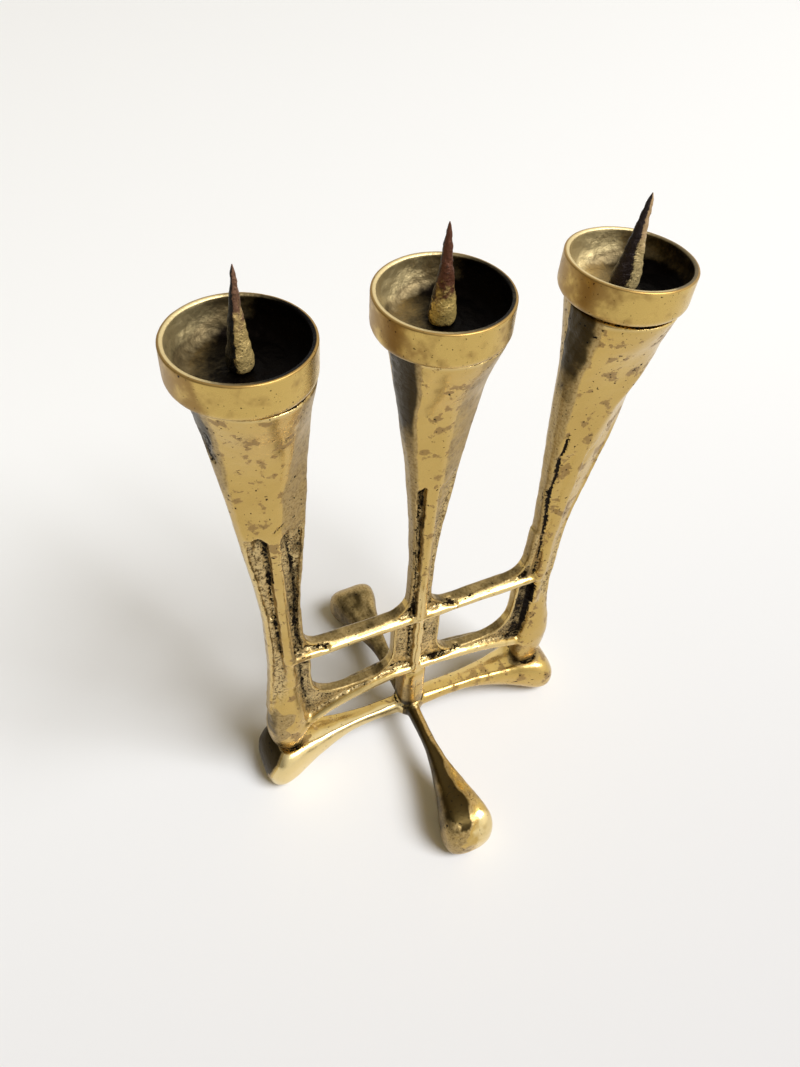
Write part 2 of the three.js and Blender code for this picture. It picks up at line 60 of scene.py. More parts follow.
def smooth_min(a: Field, b: Field, radius: float) -> Field:
    """Join two distance fields with a fillet.

    Args:
        a: First field.
        b: Second field.
        radius: Reach of the fillet, in millimetres.

    Returns:
        The field of the joined shape.
    """
    blend = np.clip(0.5 + 0.5 * (b - a) / radius, 0.0, 1.0)
    return b + (a - b) * blend - radius * blend * (1.0 - blend)


def smooth_max(a: Field, b: Field, radius: float) -> Field:
    """Cut one distance field by another, with a rounded edge.

    Args:
        a: First field.
        b: Second field.
        radius: Reach of the rounding, in millimetres.

    Returns:
        The field of the cut shape.
    """
    return -smooth_min(-a, -b, radius)


def smooth_step(low: float, high: float, value: Field) -> Field:
    """Ease a value from 0 at low to 1 at high.

    Args:
        low: Value that gives 0.
        high: Value that gives 1.
        value: Values to ease.

    Returns:
        The eased values.
    """
    share = np.clip((value - low) / (high - low), 0.0, 1.0)
    return share * share * (3.0 - 2.0 * share)


def through(*stations: Iterable[float]) -> Callable[[Field], Field]:
    """Make a smooth curve through stations.

    Args:
        stations: Rows of a position and its values, in rising order.

    Returns:
        A function from positions to an array with one row of results per value.
    """
    table = np.array(stations, float)
    spots, values = table[:, 0], table[:, 1:]

    def curve(position: Field) -> Field:
        """Return the values at positions, held level past the ends."""
        at = np.clip(np.asarray(position, float), spots[0], spots[-1])
        high = np.clip(np.searchsorted(spots, at, side="right"), 1, len(spots) - 1)
        low = high - 1
        before = np.where(low > 0, low - 1, high)
        after = np.where(high < len(spots) - 1, high + 1, low)
        half = 0.5 * (spots[high] - spots[low])
        pull = half / (spots[low] - spots[before])
        push = half / (spots[after] - spots[high])
        p = (at - spots[low]) / (spots[high] - spots[low])
        weights = (
            -pull * p**3 + 2 * pull * p**2 - pull * p,
            (1 + pull) * p**3 - (1.5 + 2 * pull) * p**2 + (pull - 0.5) * p + 1,
            -(1 + push) * p**3 + (1.5 + push) * p**2 + 0.5 * p,
            push * p**3 - push * p**2,
        )
        rows = zip(weights, (before, low, high, after))
        return sum(np.moveaxis(values[row], -1, 0) * weight for weight, row in rows)

    return curve


def rounded_outline(corners: Points, count: int = 8) -> Field:
    """Round the corners of an outline.

    Args:
        corners: Rows of x, z and fillet radius.
        count: Steps round each corner.

    Returns:
        The outline's points as an array of two columns.
    """
    spots = np.array([corner[:2] for corner in corners], float)
    points = []
    for i, corner in enumerate(corners):
        here = spots[i]
        before, after = spots[i - 1] - here, spots[(i + 1) % len(spots)] - here
        fillet = min(corner[2], 0.48 * np.linalg.norm(before), 0.48 * np.linalg.norm(after))
        enter = here + before * fillet / np.linalg.norm(before)
        leave = here + after * fillet / np.linalg.norm(after)
        shares = np.linspace(0, 1, count + 1) if fillet > 0 else np.array([0.0])
        for t in shares:
            points.append((1 - t) ** 2 * enter + 2 * t * (1 - t) * here + t * t * leave)
    return np.array(points)


def mirrored(corners: Points) -> Points:
    """Return corners on the other side of the middle plane, in turned order."""
    return [[-corner[0], *corner[1:]] for corner in reversed(corners)]


def outline_distance(outline: Field, x: Field, z: Field) -> Field:
    """Measure the signed distance to a closed outline.

    Args:
        outline: Its points, as an array of two columns.
        x: Positions along X.
        z: Heights.

    Returns:
        The distances, negative inside.
    """
    nearest = np.full(np.broadcast(x, z).shape, 1e9)
    inside = np.zeros(nearest.shape, bool)
    for (ax, az), (bx, bz) in zip(outline, np.roll(outline, -1, axis=0)):
        dx, dz = bx - ax, bz - az
        length = dx * dx + dz * dz
        if length < 1e-12:
            continue
        share = np.clip(((x - ax) * dx + (z - az) * dz) / length, 0, 1)
        nearest = np.minimum(nearest, (x - ax - share * dx) ** 2 + (z - az - share * dz) ** 2)
        if az != bz:
            crosses = (az > z) != (bz > z)
            inside ^= crosses & (x < ax + (z - az) * dx / dz)
    return np.where(inside, -1, 1) * np.sqrt(nearest)


def rounded_box_field(u: Field, v: Field, half_u: float, half_v: float, exponent: float) -> Field:
    """Measure about how far a point lies from a rounded bar's section.

    Args:
        u: Offsets across the bar.
        v: Offsets through its depth.
        half_u: Half its width.
        half_v: Half its depth.
        exponent: 2 for an ellipse, more for a squarer section.

    Returns:
        The distances, negative inside.
    """
    reach = (np.abs(u / half_u) ** exponent + np.abs(v / half_v) ** exponent) ** (1 / exponent)
    return (reach - 1) * min(half_u, half_v)


class Block:
    """Block of space that holds a casting's distance field on an even grid."""

    def __init__(self, low: Iterable[float], high: Iterable[float], pitch: float) -> None:
        """Set out the grid.

        Args:
            low: Lowest corner, in millimetres.
            high: Highest corner.
            pitch: Step of the grid.
        """
        self.low = np.array(low, float)
        self.pitch = pitch
        self.axes = [np.arange(a, b, pitch) for a, b in zip(low, high)]
        self.values = np.full([len(axis) for axis in self.axes], 5.0, np.float32)

    def window(self, low: Iterable[float], high: Iterable[float]) -> tuple[tuple[slice, ...], list[Field]]:
        """Find the part of the grid between two corners.

        Args:
            low: Lowest corner.
            high: Highest corner.

        Returns:
            Slices of the grid and its three open coordinate arrays there.
        """
        cuts = tuple(
            slice(int(np.searchsorted(axis, a)), int(np.searchsorted(axis, b)))
            for axis, a, b in zip(self.axes, low, high)
        )
        axes = [axis[cut] for axis, cut in zip(self.axes, cuts)]
        return cuts, np.meshgrid(*axes, indexing="ij", sparse=True)

    def join(self, low: Iterable[float], high: Iterable[float], shape: Shape, fillet: float) -> None:
        """Add a shape to the casting within two corners."""
        cuts, axes = self.window(low, high)
        self.values[cuts] = smooth_min(self.values[cuts], shape(*axes), fillet)

    def cut(self, low: Iterable[float], high: Iterable[float], shape: Shape, edge: float) -> None:
        """Take a shape out of the casting within two corners."""
        cuts, axes = self.window(low, high)
        self.values[cuts] = smooth_max(self.values[cuts], -shape(*axes), edge)

    def blurred(self, reach: float) -> Field:
        """Return the field averaged over a cube that reaches as many millimetres each way."""
        result = np.clip(self.values, -4, 4).astype(np.float64)
        steps = max(1, round(reach / self.pitch))
        for axis in range(3):
            result = np.moveaxis(result, axis, 0)
            padded = np.pad(result, [(steps + 1, steps), (0, 0), (0, 0)], mode="edge").cumsum(axis=0)
            result = (padded[2 * steps + 1:] - padded[: -2 * steps - 1]) / (2 * steps + 1)
            result = np.moveaxis(result, 0, axis)
        return result

    def sample(self, values: Field, points: Field) -> Field:
        """Read a grid of values at points.

        Args:
            values: The grid.
            points: Rows of coordinates, in millimetres.

        Returns:
            One value per point.
        """
        spot = (points - self.low) / self.pitch
        base = np.clip(spot.astype(int), 0, np.array(values.shape) - 2)
        share = spot - base
        total = np.zeros(len(points))
        for corner in np.ndindex(2, 2, 2):
            weight = np.prod(np.where(corner, share, 1 - share), axis=1)
            total += weight * values[tuple((base + corner).T)]
        return total

    def skin(self) -> tuple[Field, Field]:
        """Draw the surface where the field is zero.

        Returns:
            The vertices, in millimetres, and the quads, with faces out.
        """
        inside = self.values < 0
        corners = list(np.ndindex(2, 2, 2))
        shape = [size - 1 for size in inside.shape]
        views = [tuple(slice(c, c + s) for c, s in zip(corner, shape)) for corner in corners]
        filled = sum(inside[view].astype(np.int8) for view in views)
        cells = np.argwhere((filled > 0) & (filled < 8))
        number = np.full(shape, -1, np.int64)
        number[tuple(cells.T)] = np.arange(len(cells))
        depth = np.stack([self.values[tuple((cells + corner).T)] for corner in corners], axis=1)
        total = np.zeros((len(cells), 3))
        count = np.zeros(len(cells))
        for a, b in ((a, b) for a in range(8) for b in range(a + 1, 8)):
            start, end = np.array(corners[a]), np.array(corners[b])
            if np.abs(end - start).sum() != 1:
                continue
            mixed = (depth[:, a] < 0) != (depth[:, b] < 0)
            share = depth[mixed, a] / (depth[mixed, a] - depth[mixed, b])
            total[mixed] += start + share[:, None] * (end - start)
            count[mixed] += 1
        vertices = self.low + (cells + total / count[:, None]) * self.pitch
        quads = []
        for axis in range(3):
            near, far = [slice(None)] * 3, [slice(None)] * 3
            near[axis], far[axis] = slice(None, -1), slice(1, None)
            starts, ends = inside[tuple(near)], inside[tuple(far)]
            u, v = (axis + 1) % 3, (axis + 2) % 3
            step_u, step_v = np.eye(3, dtype=int)[u], np.eye(3, dtype=int)[v]
            for crossing, turned in ((starts & ~ends, False), (~starts & ends, True)):
                edges = np.argwhere(crossing)
                edges = edges[(edges[:, u] > 0) & (edges[:, v] > 0)]
                ring = [edges - step_u - step_v, edges - step_v, edges, edges - step_u]
                quad = np.stack([number[tuple(cell.T)] for cell in ring], axis=1)
                quads.append(quad[:, ::-1] if turned else quad)
        return vertices, np.concatenate(quads)


# Colour and node helpers

def srgb(code: str) -> tuple[float, float, float, float]:
    """Turn an sRGB hex code into linear red, green, blue and alpha."""
    parts = [int(code[i:i + 2], 16) / 255 for i in (1, 3, 5)]
    linear = [p / 12.92 if p <= 0.04045 else ((p + 0.055) / 1.055) ** 2.4 for p in parts]
    return (*linear, 1.0)


class Graph:
    """Node tree with short ways to add the nodes that the finishes share."""

    def __init__(self, tree: bpy.types.NodeTree, place: str = "Object") -> None:
        """Take a tree, and the name of the coordinates that it is read at."""
        self.tree = tree
        self.place = self.add("TexCoord").outputs[place]

    def add(self, kind: str, links: dict | None = None, **settings: Any) -> bpy.types.Node:
        """Add a node with its settings and links.

        Args:
            kind: Blender's name of the node type, without ShaderNode.
            links: Input name or index to an output socket, a hex colour or a plain value.
            settings: Properties of the node.

        Returns:
            The new node.
        """
        node = self.tree.nodes.new("ShaderNode" + kind)
        for key, value in settings.items():
            setattr(node, key, value)
        for key, value in (links or {}).items():
            self.feed(node.inputs[key], value)
        return node

    def feed(self, target: Socket, value: Any) -> None:
        """Link a socket to an input, or set the input to a hex colour or a plain value."""
        if isinstance(value, Socket):
            self.tree.links.new(value, target)
        else:
            target.default_value = srgb(value) if isinstance(value, str) else value

    def attributes(self, *names: str) -> list[Socket]:
        """Read a piece's attributes."""
        return [self.add("Attribute", attribute_name=name).outputs["Fac"] for name in names]

    def noise(self, size_mm: float, detail: float = 2.0, roughness: float = 0.55) -> Socket:
        """Add noise.

        Args:
            size_mm: Width of its bumps.
            detail: Layers of finer noise.
            roughness: Strength of the finer layers.

        Returns:
            The noise, from 0 to 1.
        """
        inputs = {"Vector": self.place, "Scale": 1 / (size_mm * MM), "Detail": detail, "Roughness": roughness}
        return self.add("TexNoise", inputs).outputs["Fac"]

    def ramp(self, value: Socket, low: float, high: float) -> Socket:
        """Add a smooth step from 0 at low to 1 at high."""
        limits = {"Value": value, "From Min": low, "From Max": high}
        return self.add("MapRange", limits, interpolation_type="SMOOTHSTEP").outputs["Result"]

    def spread(self, share: Socket, low: float, high: float) -> Socket:
        """Turn a share from 0 to 1 into a value from low to high."""
        return self.add("MapRange", {"Value": share, "To Min": low, "To Max": high}).outputs["Result"]

    def combine(self, operation: str, *values: Any) -> Socket:
        """Add a node that works out one value from others."""
        return self.add("Math", dict(enumerate(values)), operation=operation).outputs[0]

    def total(self, first: Socket, *others: tuple[Socket, float]) -> Socket:
        """Add up a value and others, each with its weight."""
        for value, weight in others:
            first = self.combine("MULTIPLY_ADD", value, weight, first)
        return first

    def times(self, value: Socket, factor: Any) -> Socket:
        """Multiply two values."""
        return self.combine("MULTIPLY", value, factor)

    def largest(self, first: Socket, *others: Socket) -> Socket:
        """Find the largest of some values."""
        for value in others:
            first = self.combine("MAXIMUM", first, value)
        return first

    def between(self, share: Socket, first: Any, second: Any) -> Socket:
        """Go from the first value to the second."""
        return self.add("Mix", {0: share, 2: first, 3: second}, data_type="FLOAT").outputs[0]

    def blend(self, share: Socket, first: Any, second: Any) -> Socket:
        """Go from the first colour to the second."""
        return self.add("Mix", {0: share, 6: first, 7: second}, data_type="RGBA").outputs[2]

    def dress(self, relief: Socket, depth_mm: float, strength: Any, **inputs: Any) -> None:
        """Give the tree's shader its bumps and its other inputs.

        Args:
            relief: Height of the bumps, from 0 to 1.
            depth_mm: How far a relief of 1 stands out.
            strength: How strongly the bumps show.
            inputs: Names of other inputs, in small letters, with their values.
        """
        bump = self.add("Bump", {"Height": relief, "Distance": depth_mm * MM, "Strength": strength})
        shader = self.tree.nodes["Principled BSDF"]
        self.feed(shader.inputs["Normal"], bump.outputs["Normal"])
        for name, value in inputs.items():
            self.feed(shader.inputs[name.replace("_", " ").title()], value)


def new_piece(name: str, vertices: Field, faces: list[list[int]]) -> bpy.types.Object:
    """Make a smooth-shaded mesh object in the row's frame.

    Args:
        name: Its name.
        vertices: Rows of coordinates, in millimetres.
        faces: Rows of vertex numbers.

    Returns:
        The new object.
    """
    mesh = bpy.data.meshes.new(name)
    mesh.from_pydata((vertices * MM).tolist(), [], faces)
    mesh.validate()
    mesh.polygons.foreach_set("use_smooth", [True] * len(mesh.polygons))
    piece = bpy.data.objects.new(name, mesh)
    bpy.context.scene.collection.objects.link(piece)
    return piece


def ring_faces(rings: int, sides: int, closed: bool = False) -> list[list[int]]:
    """List the quads between rings of vertices.

    Args:
        rings: How many rings there are.
        sides: How many vertices a ring has.
        closed: Whether the last ring joins the first.

    Returns:
        Rows of vertex numbers.
    """
    ring = np.arange(rings if closed else rings - 1)[:, None]
    near, far = ring * sides, (ring + 1) % rings * sides
    spot, after = np.arange(sides), (np.arange(sides) + 1) % sides
    return np.stack([near + spot, near + after, far + after, far + spot], axis=-1).reshape(-1, 4).tolist()


def mark(piece: bpy.types.Object, **attributes: Field) -> None:
    """Store attributes of one number per vertex on a piece, under their names."""
    for name, values in attributes.items():
        attribute = piece.data.attributes.new(name, "FLOAT", "POINT")
        attribute.data.foreach_set("value", np.asarray(values, np.float32))


def unevenness(points: Field, size: float, seed: float, octaves: int = 2) -> Field:
    """Read smooth noise at points.

    Args:
        points: Rows of coordinates, in millimetres.
        size: Width of the noise's bumps, in millimetres.
        seed: Offset that makes one noise differ from the next.
        octaves: Layers of finer noise.

    Returns:
        One number from about -1 to 1 per point.
    """
    shift = Vector((seed, 2.3 * seed, -1.7 * seed))
    scaled = points / size
    return np.array([noise.fractal(Vector(p) + shift, 1.0, 2.0, octaves) for p in scaled.tolist()])


def vertex_normals(piece: bpy.types.Object) -> Field:
    """Return a piece's vertex normals as an array."""
    normals = np.empty(3 * len(piece.data.vertices))
    piece.data.vertices.foreach_get("normal", normals)
    return normals.reshape(-1, 3)


def push_out(piece: bpy.types.Object, points: Field, amount: Field) -> None:
    """Move a piece's vertices along their normals.

    Args:
        piece: The object.
        points: Where its vertices are, in millimetres.
        amount: How far each moves, in millimetres.
    """
    moved = points + vertex_normals(piece) * amount[:, None]
    piece.data.vertices.foreach_set("co", (moved * MM).ravel())
    piece.data.update()


# Finishes

class Finish:
    """Base of the finishes: builds a material of the finish's name from its nodes."""

    def material(self) -> bpy.types.Material:
        """Build the node material."""
        material = bpy.data.materials.new(self.name)
        material.use_nodes = True
        self.paint(Graph(material.node_tree))
        return material


@dataclass(frozen=True)
class CastBrass(Finish):
    """Sand-cast brass, filed and polished by hand.

    The eye gets bright pale gold on ribs and edges, polished by rubbing and painted paler as a highlight,
    warm gold faces with matte patches and dark pits where the file did not reach, tan to brown flanks from
    tarnishing and from painted shade on their sides away from the lamp, sandy gold skin in the hollows, and
    jagged black lines of oxide with black painted shade under the cups and along the seams. Each pair whose
    name ends in "at" says where a layer starts and where it is full.
    """

    name: str = "cast_brass_filed_and_polished"
    gold: str = "#d2b46c"
    warm: str = "#bd9c56"
    # Pale gold of edges polished by rubbing, also laid on as a painted highlight
    edge: str = "#e6cf96"
    matte: str = "#a28450"
    tan: str = "#b09764"
    worn_tan: str = "#92794a"
    # Brown of tarnishing, also laid on as painted shade on flanks, legs, drops and the hub block
    brown: str = "#3a2f18"
    sand: str = "#d6bd86"
    grit: str = "#66502c"
    # Black of oxide, also laid on as painted shade under the cups and along the seams
    oxide: str = "#1a130c"
    patch_mm: float = 6.0
    pit_mm: float = 1.3
    grain_mm: float = 1.0
    corner_at: Pair = (1.55, 1.8)
    crack_at: Pair = (3.4, 3.05)
    spot_at: Pair = (1.02, 1.14)
    edge_at: Pair = (-0.7, -1.4)
    edge_share: float = 0.6
    highlight_at: Pair = (-0.1, -0.8)
    patch_at: Pair = (0.61, 0.66)
    pit_at: Pair = (0.68, 0.74)
    tan_at: Pair = (0.4, 0.7)
    brown_at: Pair = (0.8, 1.2)
    tan_grain_at: Pair = (0.38, 0.56)
    sand_grain_at: Pair = (0.39, 0.53)
    roughness: Pair = (0.23, 0.38)
    dark_roughness: float = 0.7
    bump_strength: Pair = (0.12, 0.9)
    bump_mm: float = 0.28
    pit_depth: float = 0.8

    def paint(self, graph: Graph) -> None:
        """Lay the oxide with the painted shade of the seams, the polished edges with their painted highlight,
        the matte patches and the tarnishing with its painted shade over the gold.

        Args:
            graph: Node graph of the new material.
        """
        hollow, sunk, tarnish, burn, crack = graph.attributes("hollow", "sunk", "tarnish", "burn", "crack")
        grain = graph.noise(self.grain_mm, 4.0, 0.65)
        broad = graph.noise(self.patch_mm, 4.0, 0.6)
        tint = graph.noise(3 * self.patch_mm, 3.0)
        # Oxide gathers in corners, along cracks and, in spots, over burnt hollows; the same black is painted
        # as shade under the cups and along the seams of the drops, the hub block and the underside
        corner = graph.ramp(graph.total(hollow, (grain, 1.1), (broad, 0.9)), *self.corner_at)
        jagged = graph.ramp(graph.total(crack, (grain, 3.5), (broad, 3.0)), *self.crack_at)
        spots = graph.times(graph.ramp(graph.total(grain, (broad, 0.6), (burn, 0.5)), *self.spot_at), sunk)
        oxide = graph.largest(corner, spots, jagged)
        # Edges and ribs are polished by rubbing, and painted paler still as a highlight; where the tarnishing
        # mark goes below 0, on bar fronts, toe noses and some toe sides, it paints a highlight
        edge = graph.times(graph.ramp(hollow, *self.edge_at), self.edge_share)
        edge = graph.largest(edge, graph.ramp(tarnish, *self.highlight_at))
        # Matte patches where the file did not reach, with pits in and round them
        patch = graph.ramp(graph.total(broad, (grain, 0.12), (edge, -0.2)), *self.patch_at)
        pit = graph.ramp(graph.total(graph.noise(self.pit_mm), (patch, 0.07)), *self.pit_at)
        dark = graph.largest(pit, oxide)
        # Flanks go from gold over tan to brown with tarnishing, and with painted shade on their sides away
        # from the lamp
        tarnished = graph.total(tarnish, (broad, 0.5))
        tan = graph.ramp(tarnished, *self.tan_at)
        grained_tan = graph.blend(graph.ramp(grain, *self.tan_grain_at), self.worn_tan, self.tan)
        floor = graph.blend(graph.ramp(grain, *self.sand_grain_at), self.grit, self.sand)
        colour = graph.blend(tint, self.gold, self.warm)
        layers = ((edge, self.edge), (patch, self.matte), (tan, grained_tan),
                  (graph.ramp(tarnished, *self.brown_at), self.brown), (sunk, floor), (dark, self.oxide))
        for share, layer in layers:
            colour = graph.blend(share, colour, layer)
        matte = graph.largest(patch, tan)
        dull = graph.spread(graph.largest(matte, sunk), *self.roughness)
        worked = graph.largest(graph.times(matte, 0.5), sunk)
        graph.dress(graph.total(grain, (dark, -self.pit_depth)), self.bump_mm,
                    graph.spread(worked, *self.bump_strength), base_color=colour,
                    roughness=graph.between(dark, dull, self.dark_roughness), metallic=1.0)


@dataclass(frozen=True)
class TurnedBrass(Finish):
    """Brass turned on a lathe outside and left rough and darkened inside.

    The eye gets a satin band with faint lines round it, brown streaks, pits and painted shade on its left
    side, and a bowl painted sandy gold on the wall that faces the lamp, black on the far wall and sooty on
    its floor.
    """

    name: str = "turned_brass_satin"
    gold: str = "#d0b166"
    # Brown of streaks, also laid on as painted shade on the band's left side
    streak_and_shade: str = "#a08048"
    # Black of pits and a sooty floor, also laid on as painted shade on the bowl's far wall
    soot_and_shade: str = "#0a0705"
    umber: str = "#7c6c4c"
    # Sandy gold, laid on as painted light on the bowl's wall that faces the lamp
    sand: str = "#d2be8c"
    line_mm: float = 0.35
    streak_mm: float = 5.0
    grit_mm: float = 1.0
    pit_at: Pair = (0.65, 0.71)
    stain_and_shade_at: Pair = (0.5, 0.85)
    umber_at: Pair = (0.0, 1.0)
    sand_at: Pair = (0.9, 1.4)
    band_roughness: Pair = (0.27, 0.4)
    bowl_roughness: float = 0.5
    bump_strength: Pair = (0.25, 1.0)
    bump_mm: float = 0.18

    def paint(self, graph: Graph) -> None:
        """Make the band and the bowl, and keep each to its side of the rim.

        Args:
            graph: Node graph of the new material.
        """
        inside, pale, level, shade = graph.attributes("inside", "pale_side", "level", "shade_side")
        turning = {"W": level, "Scale": 1 / self.line_mm, "Detail": 3.0}
        lines = graph.add("TexNoise", turning, noise_dimensions="1D").outputs["Fac"]
        streaks = graph.noise(self.streak_mm, 5.0)
        grit = graph.noise(self.grit_mm, 4.0)
        # The brown of streaks covers both the streaks and the painted shade on the band's left side
        stain_and_shade = graph.ramp(graph.total(shade, (streaks, 1.0)), *self.stain_and_shade_at)
        band = graph.blend(stain_and_shade, self.gold, self.streak_and_shade)
        band = graph.blend(graph.ramp(grit, *self.pit_at), band, self.soot_and_shade)
        # The bowl goes from black over umber to sand as it turns to the lit side: painted shade on the far
        # wall, painted light on the wall that faces the lamp, and a sooty floor
        side = graph.total(pale, (grit, 0.35), (streaks, 0.7))
        bowl = graph.blend(graph.ramp(side, *self.umber_at), self.soot_and_shade, self.umber)
        bowl = graph.blend(graph.ramp(side, *self.sand_at), bowl, self.sand)
        satin = graph.spread(stain_and_shade, *self.band_roughness)
        strength = graph.spread(inside, *self.bump_strength)
        graph.dress(graph.between(inside, lines, grit), self.bump_mm, strength,
                    base_color=graph.blend(inside, band, bowl),
                    roughness=graph.between(inside, satin, self.bowl_roughness), metallic=1.0)


@dataclass(frozen=True)
class SpikeBronze(Finish):
    """Rough-cast bronze, burnt at the top, worn to gold at the foot and dark on its shaded side."""

    name: str
    burnt: str
    worn: str
    shade: str
    worn_height: float
    shade_from: float
    grain_mm: float = 0.6
    burn_after: Pair = (0.15, 0.45)
    shade_after: Pair = (0.55, 0.85)
    pit_at: Pair = (0.58, 0.66)
    pit_share: float = 0.7
    roughness: float = 0.42
    metal: float = 0.5
    bump_mm: float = 0.4

    def paint(self, graph: Graph) -> None:
        """Burn the top, then shade one side and the pits.

        Args:
            graph: Node graph of the new material.
        """
        rise, side = graph.attributes("rise", "shade_side")
        grain = graph.noise(self.grain_mm, 4.0)
        streaks = graph.noise(3 * self.grain_mm, 3.0)
        height = graph.total(rise, (streaks, 0.6))
        burn = graph.ramp(height, *(self.worn_height + at for at in self.burn_after))
        lee = graph.total(side, (streaks, 0.7), (grain, 0.7))
        shaded = graph.ramp(lee, *(self.shade_from + at for at in self.shade_after))
        pits = graph.times(graph.ramp(grain, *self.pit_at), self.pit_share)
        colour = graph.blend(burn, self.worn, self.burnt)
        colour = graph.blend(graph.largest(shaded, pits), colour, self.shade)
        graph.dress(grain, self.bump_mm, 1.0, base_color=colour, roughness=self.roughness,
                    metallic=self.metal)


@dataclass(frozen=True)
class PlainSteel(Finish):
    """Machined steel of the hub's screw and washer: grey, with fine turning marks."""

    name: str = "plain_turned_steel"
    grey: str = "#8f8f8a"
    worn: str = "#6e6c66"
    mark_mm: float = 0.6
    bump_mm: float = 0.05
    bump_strength: float = 0.3
    roughness: float = 0.38

    def paint(self, graph: Graph) -> None:
        """Lay the marks over the grey."""
        marks = graph.noise(self.mark_mm, 3.0)
        colour = graph.blend(marks, self.grey, self.worn)
        graph.dress(marks, self.bump_mm, self.bump_strength, base_color=colour, roughness=self.roughness,
                    metallic=1.0)


# Sub-assemblies

class Side(Enum):
    """The three places along the frame."""

    LEFT = "left"
    CENTRE = "centre"
    RIGHT = "right"


@dataclass(frozen=True)
class Arm:
    """Sizes, wear and painted shade of one arm and of its cup's seat.

    Attributes:
        bar: Its middle at the bars.
        panel: Its middle at the panels' top.
        mouth: Its middle at the mouth.
        waist: Half its width at the bars.
        panel_half: Half its width at the panels' top.
        shoulder: Half its width below the mouth.
        top: Height of its mouth over the frame's underside.
        rib: The rib's middle at the panels' top.
        crease: Share of its half width where the filed front ends on the right, near the mouth.
        slant: Rise of the right-hand panel's outer corner.
        cup: The cup's middle.
        lean: How far the cup leans to the right and back, in radians.
        sinks: How deep the panels left and right of the rib are sunk.
        burns: How burnt they are.
        tarnish: How brown the left and the right flank are: tarnishing on both, with painted shade on the
            left flank, away from the lamp.
        brown_edge: Share of the half width where the left flank's brown ends at the mouth.
        brown_left: How much of that brown is left at the panels.
    """

    bar: float
    panel: float
    mouth: float
    waist: float
    panel_half: float
    shoulder: float
    top: float
    rib: float
    crease: float
    slant: float
    cup: float
    lean: Pair
    sinks: Pair
    burns: Pair
    tarnish: Pair
    brown_edge: float
    brown_left: float

    def cup_height(self) -> float:
        """Return how high the middle of the cup's underside is over the frame's underside."""
        return self.top + CUP_GAP + CUP_FOOT * math.sin(math.hypot(*self.lean))


@dataclass(frozen=True)
class Crack:
    """Black line in the skin: its width, and its course on the front in rows of x and height."""

    width: float
    course: tuple[Pair, ...]


@dataclass(frozen=True)
class Drop:
    """Place and size of the drop under an outer arm."""

    x: float
    radius: float
    z: float


# Sizes that the castings and the cups share, and the gap that counts as far from any crack
FRAME_BASE = 22.3
CUP_GAP = 0.3
CUP_FOOT = 16.8
CUP_RADIUS = 20
FAR_GAP = 4.0
ARMS = {
    Side.LEFT: Arm(
        bar=-56, panel=-56, mouth=-56.6, waist=7, panel_half=11.3, shoulder=14.4, top=207.3, rib=-57,
        crease=0.45, slant=0, cup=-58.5, lean=(0.03, 0.01), sinks=(3.2, 2.6), burns=(0.1, 0.45),
        tarnish=(0.9, 0.4), brown_edge=-0.9, brown_left=0.0),
    Side.CENTRE: Arm(
        bar=0, panel=0.4, mouth=0.6, waist=4.6, panel_half=8.6, shoulder=13.8, top=208, rib=-1.4,
        crease=0.08, slant=4, cup=-1.5, lean=(0.004, 0.008), sinks=(2.6, 1.1), burns=(0.1, 0.2),
        tarnish=(1.15, 0.35), brown_edge=-0.83, brown_left=0.45),
    Side.RIGHT: Arm(
        bar=56, panel=58.8, mouth=60.4, waist=7, panel_half=12, shoulder=15.2, top=204, rib=56.4,
        crease=0.9, slant=9, cup=59.3, lean=(0.06, 0.04), sinks=(0.7, 0.6), burns=(0.0, 0.0),
        tarnish=(0.95, 0.1), brown_edge=-0.86, brown_left=0.4),
}
DROPS = {Side.LEFT: Drop(-59, 8.8, 20), Side.RIGHT: Drop(61.6, 8, 25.5)}


